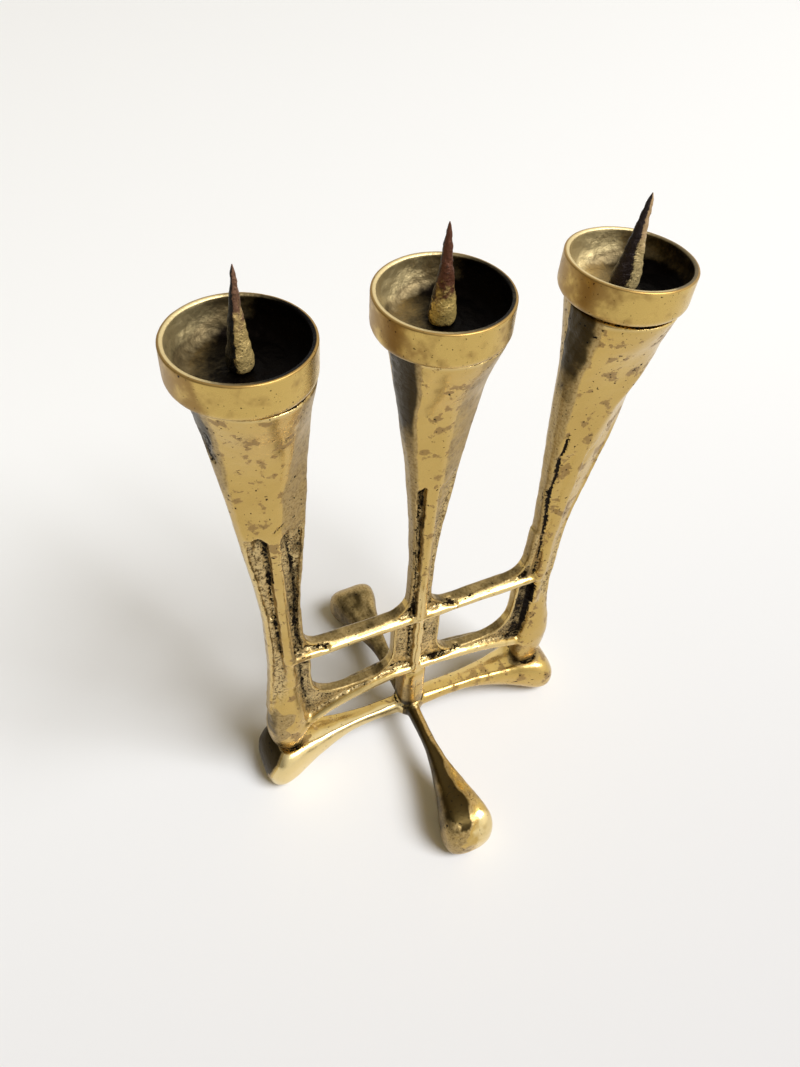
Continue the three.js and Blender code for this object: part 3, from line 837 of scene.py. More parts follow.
@dataclass
class FrameCasting:
    """The arms, ribs, bars, webs, drops and hub block, cast in one. Heights are over its underside."""

    pitch: float = 0.6
    reach: Pair = (84, 21)
    top: float = 213
    cracks: tuple[Crack, ...] = (
        Crack(0.9, ((-71.8, 196), (-71.1, 192), (-71.4, 188), (-70.4, 184))),
        Crack(1.2, ((-59.6, 146), (-59.4, 135), (-59.2, 124))),
        Crack(0.6, ((-59.2, 124), (-59.0, 109), (-58.8, 90), (-58.6, 76))),
        Crack(0.6, ((-52.6, 145), (-51.6, 136), (-51.2, 130))),
        Crack(1.0, ((-51.0, 130), (-50.4, 119), (-50.8, 108), (-51.6, 97), (-51.6, 84), (-50.6, 76))),
        Crack(0.5, ((-56.8, 151), (-54.6, 153), (-53.2, 153.5))),
        Crack(0.9, ((-53.2, 74.5), (-47, 73), (-40, 71.5))),
        Crack(0.9, ((-51.4, 64), (-51, 44), (-50, 34))),
        Crack(0.7, ((-4.8, 145), (-4.6, 140), (-4.8, 132))),
        Crack(0.8, ((-4.8, 132), (-4.4, 112), (-3.4, 96), (-3.0, 74))),
        Crack(1.4, ((-3.4, 92), (-3.6, 78), (-4.6, 74))),
        Crack(1.0, ((3.2, 84), (4.2, 76), (9, 73), (16, 71.5))),
        Crack(0.8, ((-4.6, 66), (-3.2, 60), (-3.0, 38))),
        Crack(0.9, ((2.8, 66), (3.2, 52))),
        Crack(1.0, ((-14, 35), (-7, 36), (-3.6, 34))),
        Crack(0.9, ((4, 34), (9, 33), (22, 32.5))),
        Crack(0.8, ((1.4, 146), (1.8, 143))),
        Crack(0.9, ((49.8, 155), (49.9, 150), (49.2, 143))),
        Crack(1.8, ((49.2, 143), (50.2, 134), (49.6, 125), (50.6, 115))),
        Crack(1.4, ((50.6, 115), (51.7, 105), (52.5, 92), (52.8, 78), (52.2, 73))),
        Crack(2.2, ((53.6, 64), (54.0, 50), (54.2, 36))),
        Crack(1.4, ((54.2, 36), (53.6, 28), (48, 26))),
    )
    crack_depth: float = 0.5
    mouth_radius: float = 17.7
    mouth_roundness: float = 0.97
    mouth_turn: float = 45
    mouth_turned: float = 0.62
    seat_radius: float = 16.2
    seat_edge: float = 1.2
    seat_gap: float = 0.1
    shoulder_drop: float = 25
    shoulder_depth: float = 9.4
    panel_drop: float = 59
    panel_depth: float = 7
    panel_rounding: float = 2.0
    waist_rise: float = 30
    arm_edge: float = 2.2
    arm_rounding: float = 0.8
    left_crease: float = 0.88
    left_depth: float = 0.6
    crease_rounding: float = 0.25
    thinnest: float = 1.3
    shallow: float = 1.0
    upper_bar: float = 69.7
    lower_bar: float = 30.6
    bar_half: float = 2.2
    bar_back: float = 3.6
    bar_squareness: float = 2.6
    rib_half: float = 2.1
    rib_depth: float = 5
    web_depth: float = 1.5
    rim_width: float = 1.4
    rim_depth: float = 2.4
    rim_rounding: float = 0.6
    window_inner: float = 10.4
    window_outer: float = 47
    window_corners: Pair = (5, 16)
    web_fillet: float = 13
    drop_tip: float = 66
    drop_bottom: float = 0.9
    drop_foot: float = 6.2
    drop_flatness: float = 0.85
    hub_half_width: float = 5.8
    hub_half_depth: float = 6.0
    hub_top: float = 28.6
    hub_from: float = 9
    drops_from: float = 46
    lattice_tan: float = 0.75
    # How pale the bars' fronts are painted, as a highlight
    lattice_highlight: float = 0.5
    # How dark the drops' feet are painted, as shade where they sit in the foot
    drop_foot_shade: float = 0.6
    drop_blotches: Pair = (0.5, 0.2)
    # How dark faces that turn away from the lamp are painted, as shade
    lee_tarnish: float = 0.3
    back_tarnish: float = 0.5
    web_burn: float = 0.3
    outer_burns: Pair = (0.12, 0.3)
    flank_burn: float = 0.5

    def __post_init__(self) -> None:
        """Set out the space that the casting fills, and the list of its sunk faces."""
        low = (-self.reach[0], -self.reach[1], FRAME_BASE - 2)
        self.block = Block(low, (*self.reach, FRAME_BASE + self.top), self.pitch)
        self.recesses: list[Shape] = []

    def build(self) -> bpy.types.Object:
        """Cast the frame, mark its wear with its painted light and shade, and roughen it."""
        for arm in ARMS.values():
            self.add_arm(arm)
        self.add_lattice()
        for side in DROPS:
            self.add_drop(side)
        self.add_hub()
        points, quads = self.block.skin()
        piece = new_piece("frame_cast", points, quads.tolist())
        hollow = hollows(self.block, points)
        sunk = np.max([smooth_step(0.9, 0.0, recess(*points.T)) for recess in self.recesses], axis=0)
        sunk *= smooth_step(5.2, 2.6, np.abs(points[:, 1]))
        crack = self.crack_and_shade_gap(points)
        tarnish = self.tarnish(points, vertex_normals(piece))
        mark(piece, hollow=hollow, sunk=sunk, tarnish=tarnish, burn=self.burn(points), crack=crack)
        relief = hand_work(points, np.maximum(sunk, smooth_step(0.05, 0.4, hollow)))
        relief -= self.crack_depth * smooth_step(0.6, -0.2, crack)
        push_out(piece, points, relief * (1 - self.on_seat(points)))
        return piece

    def on_seat(self, points: Field) -> Field:
        """Find which places are on the flat seat under a cup, from 0 to 1."""
        x, y, height = self.places(points)
        seats = [smooth_step(1.0, 0.4, np.abs(self.cup_underside(arm, x, y) - height))
                 * smooth_step(self.seat_radius + 0.6, self.seat_radius - 0.4, np.hypot(x - arm.cup, y))
                 for arm in ARMS.values()]
        return np.max(seats, axis=0)

    def places(self, points: Field) -> tuple[Field, Field, Field]:
        """Split points into x, y and height over the frame's underside."""
        return points[:, 0], points[:, 1], points[:, 2] - FRAME_BASE

    def crack_and_shade_gap(self, points: Field) -> Field:
        """Measure how far each place lies from the edge of the nearest crack.

        Args:
            points: Places on the casting, in millimetres.

        Returns:
            The gaps, up to 4 mm. The rims under the cups and the casting's underside count as cracks too, so
            that black painted shade lies where the cups and the foot meet the casting.
        """
        x, y, height = self.places(points)
        nearest = np.full(len(points), FAR_GAP)
        for crack in self.cracks:
            for (ax, az), (bx, bz) in zip(crack.course, crack.course[1:]):
                dx, dz = bx - ax, bz - az
                share = np.clip(((x - ax) * dx + (height - az) * dz) / (dx * dx + dz * dz), 0, 1)
                gap = np.hypot(x - ax - share * dx, height - az - share * dz) - crack.width / 2
                nearest = np.minimum(nearest, gap)
        # Painted shade: a black line along the top of each arm's mouth, under its cup
        rims = [np.where(np.abs(x - arm.mouth) < CUP_RADIUS, self.mouth_height(arm, x, y) - height, FAR_GAP)
                for arm in ARMS.values()]
        # Painted shade along the casting's underside, where it stands on the foot
        ends = np.where(height > self.upper_bar, np.min(rims, axis=0) + 0.1, height + 0.2)
        return np.minimum(np.where(y < 0, nearest, FAR_GAP), ends)

    def burn(self, points: Field) -> Field:
        """Find how burnt the sunk faces are.

        Args:
            points: Places on the casting, in millimetres.

        Returns:
            Numbers from 0 for clean sand to 1 for black.
        """
        x, _, height = self.places(points)
        left, right = self.outer_burns
        total = self.web_burn + right * smooth_step(40, 50, x) + left * smooth_step(40, 50, -x)
        total -= self.flank_burn * smooth_step(54, 58, np.abs(x))
        above_bars = height > self.upper_bar + self.waist_rise / 3
        for arm in ARMS.values():
            near = (np.abs(x - arm.panel) < self.mouth_radius) & above_bars
            total = np.where(near, np.where(x < self.rib_middle(arm, height), *arm.burns), total)
        return total

    def rib_middle(self, arm: Arm, height: Field) -> Field:
        """Return the middle of an arm's rib by height."""
        drift = smooth_step(self.upper_bar + self.waist_rise, arm.top - self.panel_drop, height)
        return arm.bar + (arm.rib - arm.bar) * drift

    def arm_curve(self, arm: Arm) -> Callable[[Field], Field]:
        """Return an arm's middle, half width and half depth by height."""
        above = arm.bar + 0.25 * (arm.panel - arm.bar)
        return through(
            (self.upper_bar, arm.bar, arm.waist, self.rib_depth),
            (self.upper_bar + self.waist_rise, above, arm.waist, self.rib_depth),
            (arm.top - self.panel_drop, arm.panel, arm.panel_half, self.panel_depth),
            (arm.top - self.shoulder_drop, (arm.panel + arm.mouth) / 2, arm.shoulder, self.shoulder_depth),
            (arm.top, arm.mouth, self.mouth_radius, self.mouth_radius),
        )

    def mouth_height(self, arm: Arm, x: Field, y: Field) -> Field:
        """Return how high an arm's mouth is, turned towards its leaning cup."""
        lift = self.mouth_radius * math.hypot(*arm.lean) - arm.lean[0] * (x - arm.mouth) - arm.lean[1] * y
        return arm.top + self.mouth_turned * lift

    def cup_underside(self, arm: Arm, x: Field, y: Field) -> Field:
        """Return how high the flat underside of an arm's cup is."""
        return arm.cup_height() - arm.lean[0] * (x - arm.cup) - arm.lean[1] * y

    def right_crease(self, arm: Arm, height: Field) -> Field:
        """Return the share of an arm's half width where its filed front ends on the right, by height."""
        rib_side = max(0.06, (arm.rib + self.rib_half - arm.panel) / arm.panel_half)
        widened = smooth_step(arm.top - self.panel_drop, arm.top - self.shoulder_drop / 2, height)
        return rib_side + (arm.crease - rib_side) * widened

    def tarnish(self, points: Field, normals: Field) -> Field:
        """Find how brown each place of the casting is, from tarnishing and painted shade, and where it is
        painted pale as a highlight.

        Args:
            points: Places on the casting, in millimetres.
            normals: Its normals there.

        Returns:
            Numbers from below 0 for painted highlights over 0 for gold to 1 for brown.
        """
        x, y, height = self.places(points)
        total = np.zeros(len(points))
        wander = 0.05 * unevenness(points, 10.0, 21.0)
        for arm in ARMS.values():
            middle, half, _ = self.arm_curve(arm)(height)
            share = (x - middle) / half + wander
            near = (np.abs(share) < 1.2) & (height > self.upper_bar)
            front = np.where(y < 2, self.flank_tarnish(arm, share, height), self.back_tarnish)
            total = np.where(near, front, total)
        hub = (np.abs(x) < self.hub_from) & (height < self.hub_top)
        # Hub block: tarnishing all round, with painted shade on its left side, away from the lamp, and at its
        # bottom, where it stands on the foot
        total = np.where(hub, 0.2 + 0.4 * smooth_step(0, -4, x) + 0.6 * smooth_step(8, 1, height), total)
        total += self.lattice_tarnish(x, y, height, normals[:, 2])
        return total + self.drop_tarnish(points, normals[:, 0])

    def flank_tarnish(self, arm: Arm, share: Field, height: Field) -> Field:
        """Find how brown an arm's flanks are: tarnishing on both, and painted shade on the left flank, away
        from the lamp.

        Args:
            arm: The arm.
            share: Places across it, from -1 at its left edge to 1 at its right edge.
            height: Their heights.

        Returns:
            The brown of both flanks.
        """
        upward = smooth_step(arm.top - self.panel_drop - 10, arm.top - 12, height)
        brown_end = (arm.brown_edge + self.left_crease) * upward - self.left_crease
        # The left flank's brown is partly painted shade, on the side away from the lamp
        left, right = arm.tarnish
        left = left * (arm.brown_left + (1 - arm.brown_left) * upward**2)
        left = left * smooth_step(brown_end + 0.18, brown_end - 0.04, share)
        crease = self.right_crease(arm, height)
        return left + right * smooth_step(crease - 0.04, crease + 0.1, share)

    def lattice_tarnish(self, x: Field, y: Field, height: Field, upward: Field) -> Field:
        """Find how tan the bars' tops are behind their ridges, and how pale their fronts are painted as a
        highlight.

        Args:
            x: Places along the frame.
            y: Places through its depth.
            height: Heights.
            upward: The normals' upward parts.

        Returns:
            The tan, below 0 where the fronts are painted pale as a highlight.
        """
        lattice = smooth_step(self.upper_bar + self.waist_rise, self.upper_bar + 16, height)
        lattice *= smooth_step(54, 50, np.abs(x)) * smooth_step(14, 20, height)
        behind = smooth_step(-self.rib_depth + 0.8, -self.rib_depth + 2.4, y)
        tan = self.lattice_tan * smooth_step(0.2, 0.8, upward) * behind
        # Painted highlight: the bars' fronts go pale
        return lattice * (tan - self.lattice_highlight * (1 - behind))

    def drop_tarnish(self, points: Field, rightward: Field) -> Field:
        """Find the drops' blotches, and the painted shade at their feet and on their faces that turn away
        from the lamp.

        Args:
            points: Places on the casting, in millimetres.
            rightward: The normals' parts to the right.

        Returns:
            The blotches and the painted shade.
        """
        x, _, height = self.places(points)
        drop = np.abs(x) > self.drops_from
        blotch = smooth_step(0.0, 0.4, unevenness(points, 10.0, 41.0)) * smooth_step(44, 34, height)
        total = blotch * np.where(x < -self.drops_from, *self.drop_blotches) * drop
        # Painted shade at the drops' feet
        total += self.drop_foot_shade * smooth_step(8, 3, height) * drop
        # Painted shade on the drops' faces that turn away from the lamp
        lee = smooth_step(0.4, 0.8, -rightward) * (np.abs(x) > 50) * (height < self.drop_tip)
        return total + self.lee_tarnish * lee

    def face_depth(self, arm: Arm, x: Field, height: Field) -> Field:
        """Find how far an arm's faces lie from the middle plane.

        Args:
            arm: The arm.
            x: Places along the frame.
            height: Heights.

        Returns:
            The distances: a creased lens at the waist that turns into a circle at the mouth.
        """
        middle, half, depth = self.arm_curve(arm)(height)
        across = np.clip((x - middle) / half, -1, 1)
        share = np.abs(across)
        right = self.right_crease(arm, height)
        crease = np.where(across > 0, right, self.left_crease)
        slope = smooth_min(np.ones(1), (1 - share) / (1 - crease), self.crease_rounding)
        turned = self.left_depth + (1 - self.left_depth) * smooth_step(-1.1, right, across)
        lens = self.arm_edge + (depth * turned - self.arm_edge) * slope
        circle = depth * np.sqrt(1 - share**2)
        rounded = smooth_step(arm.top - self.mouth_turn, arm.top, height)
        return lens + (circle - lens) * self.mouth_roundness * rounded

    def hull(self, arm: Arm, x: Field, y: Field, z: Field) -> Field:
        """Measure an arm without its panels, with a seat on its mouth that follows the leaning cup.

        Args:
            arm: The arm.
            x: Places along the frame.
            y: Places through its depth.
            z: Heights over the table.

        Returns:
            The distances, negative inside.
        """
        height = z - FRAME_BASE
        middle, half, _ = self.arm_curve(arm)(height)
        sides = np.maximum(np.abs(x - middle) - half, self.upper_bar - height)
        body = smooth_max(np.abs(y) - self.face_depth(arm, x, height), sides, self.arm_rounding)
        mouth = self.mouth_height(arm, x, y)
        seat = self.cup_underside(arm, x, y) - self.seat_gap - mouth
        seat *= smooth_step(self.seat_radius, self.seat_radius - self.seat_edge, np.hypot(x - arm.cup, y))
        return smooth_max(body, height - mouth - seat, self.arm_rounding)

    def panels(self, arm: Arm, x: Field, y: Field, z: Field) -> Field:
        """Measure the two sunk panels beside an arm's rib, the right-hand one slanted at its top.

        Args:
            arm: The arm.
            x: Places along the frame.
            y: Places through its depth.
            z: Heights over the table.

        Returns:
            The distances, negative in the panels.
        """
        height = z - FRAME_BASE
        middle, half, _ = self.arm_curve(arm)(height)
        from_rib = x - self.rib_middle(arm, height)
        wander = 0.3 * (0.5 * np.sin(0.31 * z + arm.bar) + 0.25 * np.sin(0.83 * z))
        walls = np.maximum(self.rib_half + wander - np.abs(from_rib),
                           np.abs(x - middle) - half + self.rim_width + wander)
        end = arm.top - self.panel_drop + arm.slant * smooth_step(2, 10, from_rib) + 0.8 * np.sin(1.3 * x)
        below = end - height + 16 * smooth_step(7, 3, np.abs(from_rib))
        sink = np.where(from_rib < 0, *arm.sinks) * smooth_step(-6, 16, below)
        floor = np.maximum(self.face_depth(arm, x, height) - sink, self.thinnest)
        return np.maximum(smooth_max(height - end, walls, self.panel_rounding), floor - np.abs(y))

    def add_arm(self, arm: Arm) -> None:
        """Add one arm with its sunk panels."""
        low = (min(arm.bar, arm.mouth) - 20, -20, FRAME_BASE + self.upper_bar)
        high = (max(arm.bar, arm.mouth) + 20, 20, FRAME_BASE + arm.top + 3.5)
        panels = partial(self.panels, arm)
        self.block.join(low, high, partial(self.hull, arm), 0.5)
        self.block.cut(low, (*high[:2], FRAME_BASE + arm.top - self.panel_drop + arm.slant + 4), panels, 0.7)
        if min(arm.sinks) > self.shallow:
            self.recesses.append(panels)

    def bar_height(self, drop: Drop) -> Callable[[Field], Field]:
        """Return the lower bar's height by distance from the hub, on a drop's side."""
        end = drop.z - drop.radius
        middle = (self.window_inner + abs(drop.x)) / 2
        curve = through(
            (0, self.lower_bar),
            (self.window_inner, self.lower_bar),
            (middle, self.lower_bar - 0.32 * (self.lower_bar - end)),
            (abs(drop.x), end),
        )
        return lambda across: curve(across)[0]

    def web_corners(self, drop: Drop) -> Points:
        """List half of the web's outline, on a drop's side.

        Args:
            drop: The drop.

        Returns:
            Rows of x, height and fillet radius.
        """
        arm, hub_side, inner = ARMS[Side.RIGHT], 4.0, ARMS[Side.CENTRE].waist
        left, right = arm.bar - arm.waist, arm.bar + arm.waist
        top, floor = self.upper_bar + self.waist_rise, self.upper_bar + self.bar_half
        bar = self.bar_height(drop)
        return [
            [inner, top, 0], [inner, floor, self.web_fillet], [left, floor, self.web_fillet], [left, top, 0],
            [right, top, 0], [right, self.upper_bar, self.web_fillet], [right + 3.4, 33.5, 0],
            *[[float(x), float(bar(np.array(x))), 0] for x in np.linspace(abs(drop.x), self.window_inner, 9)],
            [hub_side, self.lower_bar - self.bar_half, 6], [hub_side, self.lower_bar / 2, 0],
        ]

    def web_field(self) -> Callable[[Field, Field], Field]:
        """Return the measure of how far a place lies outside the web, by x and height."""
        head, sill = self.upper_bar - 1, self.lower_bar + 1.6
        above, below = self.window_corners
        pane = [
            [self.window_inner, head, above], [self.window_outer, head, above],
            [self.window_outer, sill, below], [self.window_inner, sill, below],
        ]
        corners = [*self.web_corners(DROPS[Side.RIGHT]), *mirrored(self.web_corners(DROPS[Side.LEFT]))]
        outline = rounded_outline(corners)
        panes = [rounded_outline(pane), rounded_outline(mirrored(pane))]
        return lambda x, height: np.max([outline_distance(outline, x, height),
                                         *(-outline_distance(pane, x, height) for pane in panes)], axis=0)

    def add_lattice(self) -> None:
        """Add the web with its raised rims, the ribs and the two bars."""
        web_edge = self.web_field()
        low = (-70, -8, FRAME_BASE + 10)
        high = (70, 8, FRAME_BASE + self.upper_bar + self.waist_rise)
        _, (x, _, z) = self.block.window(low, high)
        edge = web_edge(x[:, 0, :], z[:, 0, :] - FRAME_BASE)[:, None, :]
        heights = {side: self.bar_height(drop) for side, drop in DROPS.items()}

        def web_recess(x: Field, y: Field, z: Field) -> Field:
            """Measure the sunk faces of the web, within its rims."""
            return np.maximum(web_edge(x, z - FRAME_BASE) + self.rim_width, np.abs(y) - self.rim_depth)

        def web(x: Field, y: Field, z: Field) -> Field:
            """Measure the web and the rim along its edges."""
            plate = smooth_max(edge, np.abs(y) - self.web_depth, 0.4)
            rim = smooth_max(edge, -edge - self.rim_width, self.rim_rounding)
            rim = smooth_max(rim, np.abs(y) - self.rim_depth, self.rim_rounding)
            return smooth_min(plate, rim, 0.5)

        def upper_bar(x: Field, y: Field, z: Field) -> Field:
            """Measure the bar across the three arms."""
            depth = np.where(y < 0, self.rib_depth, self.bar_back)
            height = (z - FRAME_BASE - self.upper_bar) / self.bar_half
            squareness = self.bar_squareness
            reach = (np.abs(height) ** squareness + np.abs(y / depth) ** squareness) ** (1 / squareness)
            return np.maximum((reach - 1) * self.bar_half, np.abs(x) - ARMS[Side.RIGHT].bar)

        def lower_bar(x: Field, y: Field, z: Field) -> Field:
            """Measure the bar from drop to drop."""
            middle = np.where(x < 0, heights[Side.LEFT](np.abs(x)), heights[Side.RIGHT](np.abs(x)))
            tilt = 1 - 0.25 * smooth_step(10, 45, np.abs(x))
            height = (z - FRAME_BASE - middle) * tilt
            return rounded_box_field(height, y, self.bar_half, self.rib_depth, self.bar_squareness)

        def rib(arm: Arm, x: Field, y: Field, z: Field) -> Field:
            """Measure the rib down the middle of an arm."""
            bottom = self.lower_bar - 3 if arm.bar == 0 else self.drop_tip - 14
            wander = 0.25 * np.sin(0.37 * z + arm.bar) + 0.15 * np.sin(0.9 * z)
            depth = self.rib_depth - 3.5 * smooth_step(high[2] - 16, high[2], z)
            sides = smooth_max(np.abs(x - arm.bar) - self.rib_half + wander, np.abs(y) - depth, 2.0)
            return np.maximum(sides, FRAME_BASE + bottom - z)

        self.recesses.append(web_recess)
        self.block.join(low, high, web, 0.6)
        self.block.join((-57, -8, low[2]), (57, 8, high[2]), upper_bar, 1.0)
        self.block.join((-59, -8, low[2] - 6), (61, 8, high[2]), lower_bar, 1.0)
        for arm in ARMS.values():
            self.block.join((arm.bar - 6, -8, low[2]), (arm.bar + 6, 8, high[2]), partial(rib, arm), 0.7)

    def add_drop(self, side: Side) -> None:
        """Add the drop that ends an outer arm's rib."""
        drop, rib = DROPS[side], ARMS[side].bar
        curve = through(
            (self.drop_bottom, drop.x, self.drop_foot),
            ((self.drop_bottom + drop.z) / 2, drop.x, 0.96 * drop.radius),
            (drop.z, drop.x, drop.radius),
            ((drop.z + self.drop_tip) / 2, (2 * drop.x + rib) / 3, 0.66 * drop.radius),
            (self.drop_tip, rib, self.rib_half),
        )

        def body(x: Field, y: Field, z: Field) -> Field:
            """Measure the drop."""
            height = z - FRAME_BASE
            middle, radius = curve(height)
            flat = self.drop_flatness * radius
            sides = rounded_box_field((x - middle) / radius, y / flat, 1, 1, 2.3) * radius
            return smooth_max(sides, np.maximum(self.drop_bottom - height, height - self.drop_tip), 1.0)

        low, high = (drop.x - 14, -12, FRAME_BASE), (drop.x + 14, 12, FRAME_BASE + self.drop_tip + 4)
        self.block.join(low, high, body, 2.2)

    def add_hub(self) -> None:
        """Add the block that stands on the foot."""
        def body(x: Field, y: Field, z: Field) -> Field:
            """Measure the block."""
            height = z - FRAME_BASE
            sides = rounded_box_field(x, y, self.hub_half_width, self.hub_half_depth, 3.0)
            return smooth_max(sides, np.maximum(-height, height - self.hub_top), 2.4)

        self.block.join((-8, -8, FRAME_BASE - 2), (8, 8, FRAME_BASE + self.hub_top + 2), body, 1.4)


def hollows(block: Block, points: Field) -> Field:
    """Find how sunk a casting's surface is.

    Args:
        block: The casting.
        points: Places on its surface, in millimetres.

    Returns:
        One number per point: about 0 on flat faces, below on edges and up to 1 deep in a corner.
    """
    total = np.zeros(len(points))
    for reach, weight in ((1.8, 0.9), (4.2, 0.45)):
        total -= weight * block.sample(block.blurred(reach), points)
    return total


def hand_work(points: Field, sunk: Field) -> Field:
    """Make the unevenness that sand and file leave.

    Args:
        points: Places on the surface, in millimetres.
        sunk: How far each is out of the file's reach, from 0 to 1.

    Returns:
        How far each place stands out, in millimetres.
    """
    waves = 0.28 * unevenness(points, 15.0, 3.1) + 0.09 * unevenness(points, 4.5, 7.7)
    sand = 0.34 * unevenness(points, 1.7, 11.3, 3)
    return waves * (1 - 0.5 * sunk) + sand * sunk


@dataclass(frozen=True)
class Leg:
    """Sizes, wear and painted light and shade of one leg.

    Attributes:
        heading: Its way from the hub, in degrees from +X.
        reach: How far its toe is from the middle.
        waist: Half its width at the hub.
        toe: Half its width at the toe.
        tarnish: How brown its right and left sides are, as seen from its toe: tarnishing, with painted shade
            on a side away from the lamp, and below 0 painted pale as a highlight.
        valley_tarnish: How dark its valley is, from tarnishing and from painted shade in the dip.
        nose_highlight: How pale its nose is painted, as a highlight.
    """

    heading: float
    reach: float
    waist: float
    toe: float
    tarnish: Pair
    valley_tarnish: float
    nose_highlight: float

    def turned(self, x: Field, y: Field) -> tuple[Field, Field]:
        """Return how far places lie along and across the leg."""
        turn = math.radians(self.heading)
        return x * math.cos(turn) + y * math.sin(turn), -x * math.sin(turn) + y * math.cos(turn)


@dataclass
class FootCasting:
    """Four legs with rounded toes, cast in one."""

    pitch: float = 0.7
    low: tuple[float, float, float] = (-78, -79, -3)
    high: tuple[float, float, float] = (82, 79, 30)
    top: float = 22
    thickness: float = 8.4
    rise: float = 3
    toe_length: float = 26
    toe_rounding: float = 9
    toe_nose: float = 0.55
    toe_flat: float = 0.35
    nose: float = 8
    valley: float = 2.4
    squareness: float = 2.6
    hub_radius: float = 6.2
    hub_seam: float = 6.6
    seat_floor: float = 23.1
    seat_radius: float = 6.6
    seat_flare: float = 2.4
    # How dark the drops' seats are painted, as shade
    seat_tarnish: float = 0.6
    # How dark the front leg's root is painted, as shade under the hub block
    root_tarnish: float = 0.6
    # How dark faces that turn away from the lamp are painted, as shade
    lee_tarnish: float = 1.1
    lee_way: tuple[float, float, float] = (-0.8, 0.5, 0.33)
    legs: tuple[Leg, ...] = (
        Leg(270, 72.5, 3.1, 11.4, (0.8, 0.3), 1.0, 0.9),
        Leg(92, 75, 3.6, 11.8, (0.65, 0.8), 0.2, 0.0),
        Leg(180, 72.8, 4, 13.2, (0.2, -0.8), 0.0, 0.6),
        Leg(0, 76.6, 4.8, 14, (0.0, -0.4), 0.15, 0.4),
    )

    def build(self) -> bpy.types.Object:
        """Cast the foot, mark its wear with its painted light and shade, and roughen it."""
        block = Block(self.low, self.high, self.pitch)
        for leg in self.legs:
            block.join(self.low, self.high, partial(self.leg_field, leg), 2.5)
        block.join((-12, -12, 8), (12, 12, 26), self.hub_field, 2.0)
        for drop in DROPS.values():
            low, high = (drop.x - 14, -14, 20), (drop.x + 14, 14, 30)
            block.cut(low, high, partial(self.seat_field, drop), 0.8)
        block.cut(self.low, self.high, lambda x, y, z: z - self.toe_flat, 1.2)
        points, quads = block.skin()
        piece = new_piece("foot_cast", points, quads.tolist())
        hollow = hollows(block, points)
        sunk = smooth_step(0.25, 0.7, hollow)
        mark(piece, hollow=hollow, sunk=0.6 * sunk, tarnish=self.tarnish(points, vertex_normals(piece)),
             burn=0.3 * sunk, crack=self.seam_shade_gap(points))
        push_out(piece, points, np.where(points[:, 2] > 1, hand_work(points, sunk), 0))
        return piece

    def tarnish(self, points: Field, normals: Field) -> Field:
        """Find how brown each place of the foot is, from tarnishing and painted shade, and where it is
        painted pale as a highlight.

        Args:
            points: Places on the foot, in millimetres.
            normals: Its normals there.

        Returns:
            Numbers from below 0 for noses and sides painted pale as highlights, over 0 for gold, to 1 for
            dark valleys and sides, partly painted shade.
        """
        x, y, z = points.T
        total = np.zeros(len(points))
        wander = 0.25 * unevenness(points, 9.0, 31.0)
        for leg in self.legs:
            along, across = leg.turned(x, y)
            half = leg.waist + (leg.toe - leg.waist) * np.clip(along / leg.reach, 0, 1) ** 2
            share = across / half + wander
            right, left = leg.tarnish
            # Each side's brown is tarnishing, and painted shade on a side away from the lamp; below 0 it is
            # painted pale as a highlight
            level = right + (left - right) * smooth_step(-0.3, 0.4, share)
            nose = smooth_step(leg.reach - 13, leg.reach - 5, along)
            # The nose is painted pale as a highlight
            level = level * (1 - 0.5 * nose) - leg.nose_highlight * nose * smooth_step(-0.3, 0.4, share)
            streaks = unevenness(np.stack([0.15 * along, across, z], axis=-1), 2.6, 51.0)
            # The valley darkens with tarnishing and with painted shade in the dip
            valley = np.exp(-(((share + 0.2) / 0.42) ** 2))
            valley *= smooth_step(15, 35, along) * smooth_step(leg.reach, leg.reach - 10, along)
            valley += 0.5 * streaks * smooth_step(0.9, 0.5, np.abs(share))
            total = np.where(along > np.abs(across), level + leg.valley_tarnish * valley, total)
        # Painted shade on the left toe's faces that turn away from the lamp
        lee = smooth_step(0.5, 0.75, normals @ np.array(self.lee_way)) * smooth_step(-50, -56, x)
        total = np.where(lee > 0, np.maximum(total, 0) + self.lee_tarnish * lee, total)
        # Painted shade round each drop's seat
        for drop in DROPS.values():
            total += self.seat_tarnish * smooth_step(10, 7, np.hypot(x - drop.x, y)) * (z > 18)
        # Painted shade on the left half of the front leg's root, under the hub block
        root = smooth_step(30, 14, -y) * smooth_step(5, 8, -y) * (np.abs(x) < 6) * smooth_step(1.6, -0.6, x)
        return total + self.root_tarnish * root

    def seam_shade_gap(self, points: Field) -> Field:
        """Measure how far each place lies from the seams round the drops and the hub block, painted black as
        shade.
        """
        x, y, z = points.T
        seams = [np.abs(self.seat_field(drop, x, y, z)) for drop in DROPS.values()]
        seams.append(np.abs(np.hypot(x, y) - self.hub_seam) + np.maximum(self.top - 2 - z, 0))
        return np.minimum(np.min(seams, axis=0) - 0.25, FAR_GAP)

    def seat_field(self, drop: Drop, x: Field, y: Field, z: Field) -> Field:
        """Measure a drop's flared seat in the toe under it."""
        height = z - self.seat_floor
        radius = self.seat_radius + self.seat_flare * np.clip(height / (drop.z / 2), 0, 1)
        return np.maximum(np.sqrt((x - drop.x) ** 2 + y**2) - radius, -height - 0.3)

    def hub_field(self, x: Field, y: Field, z: Field) -> Field:
        """Measure the boss under the hub block."""
        sides = np.sqrt(x**2 + y**2) - self.hub_radius
        return smooth_max(sides, np.abs(z - self.top + 4) - 4, 1.5)

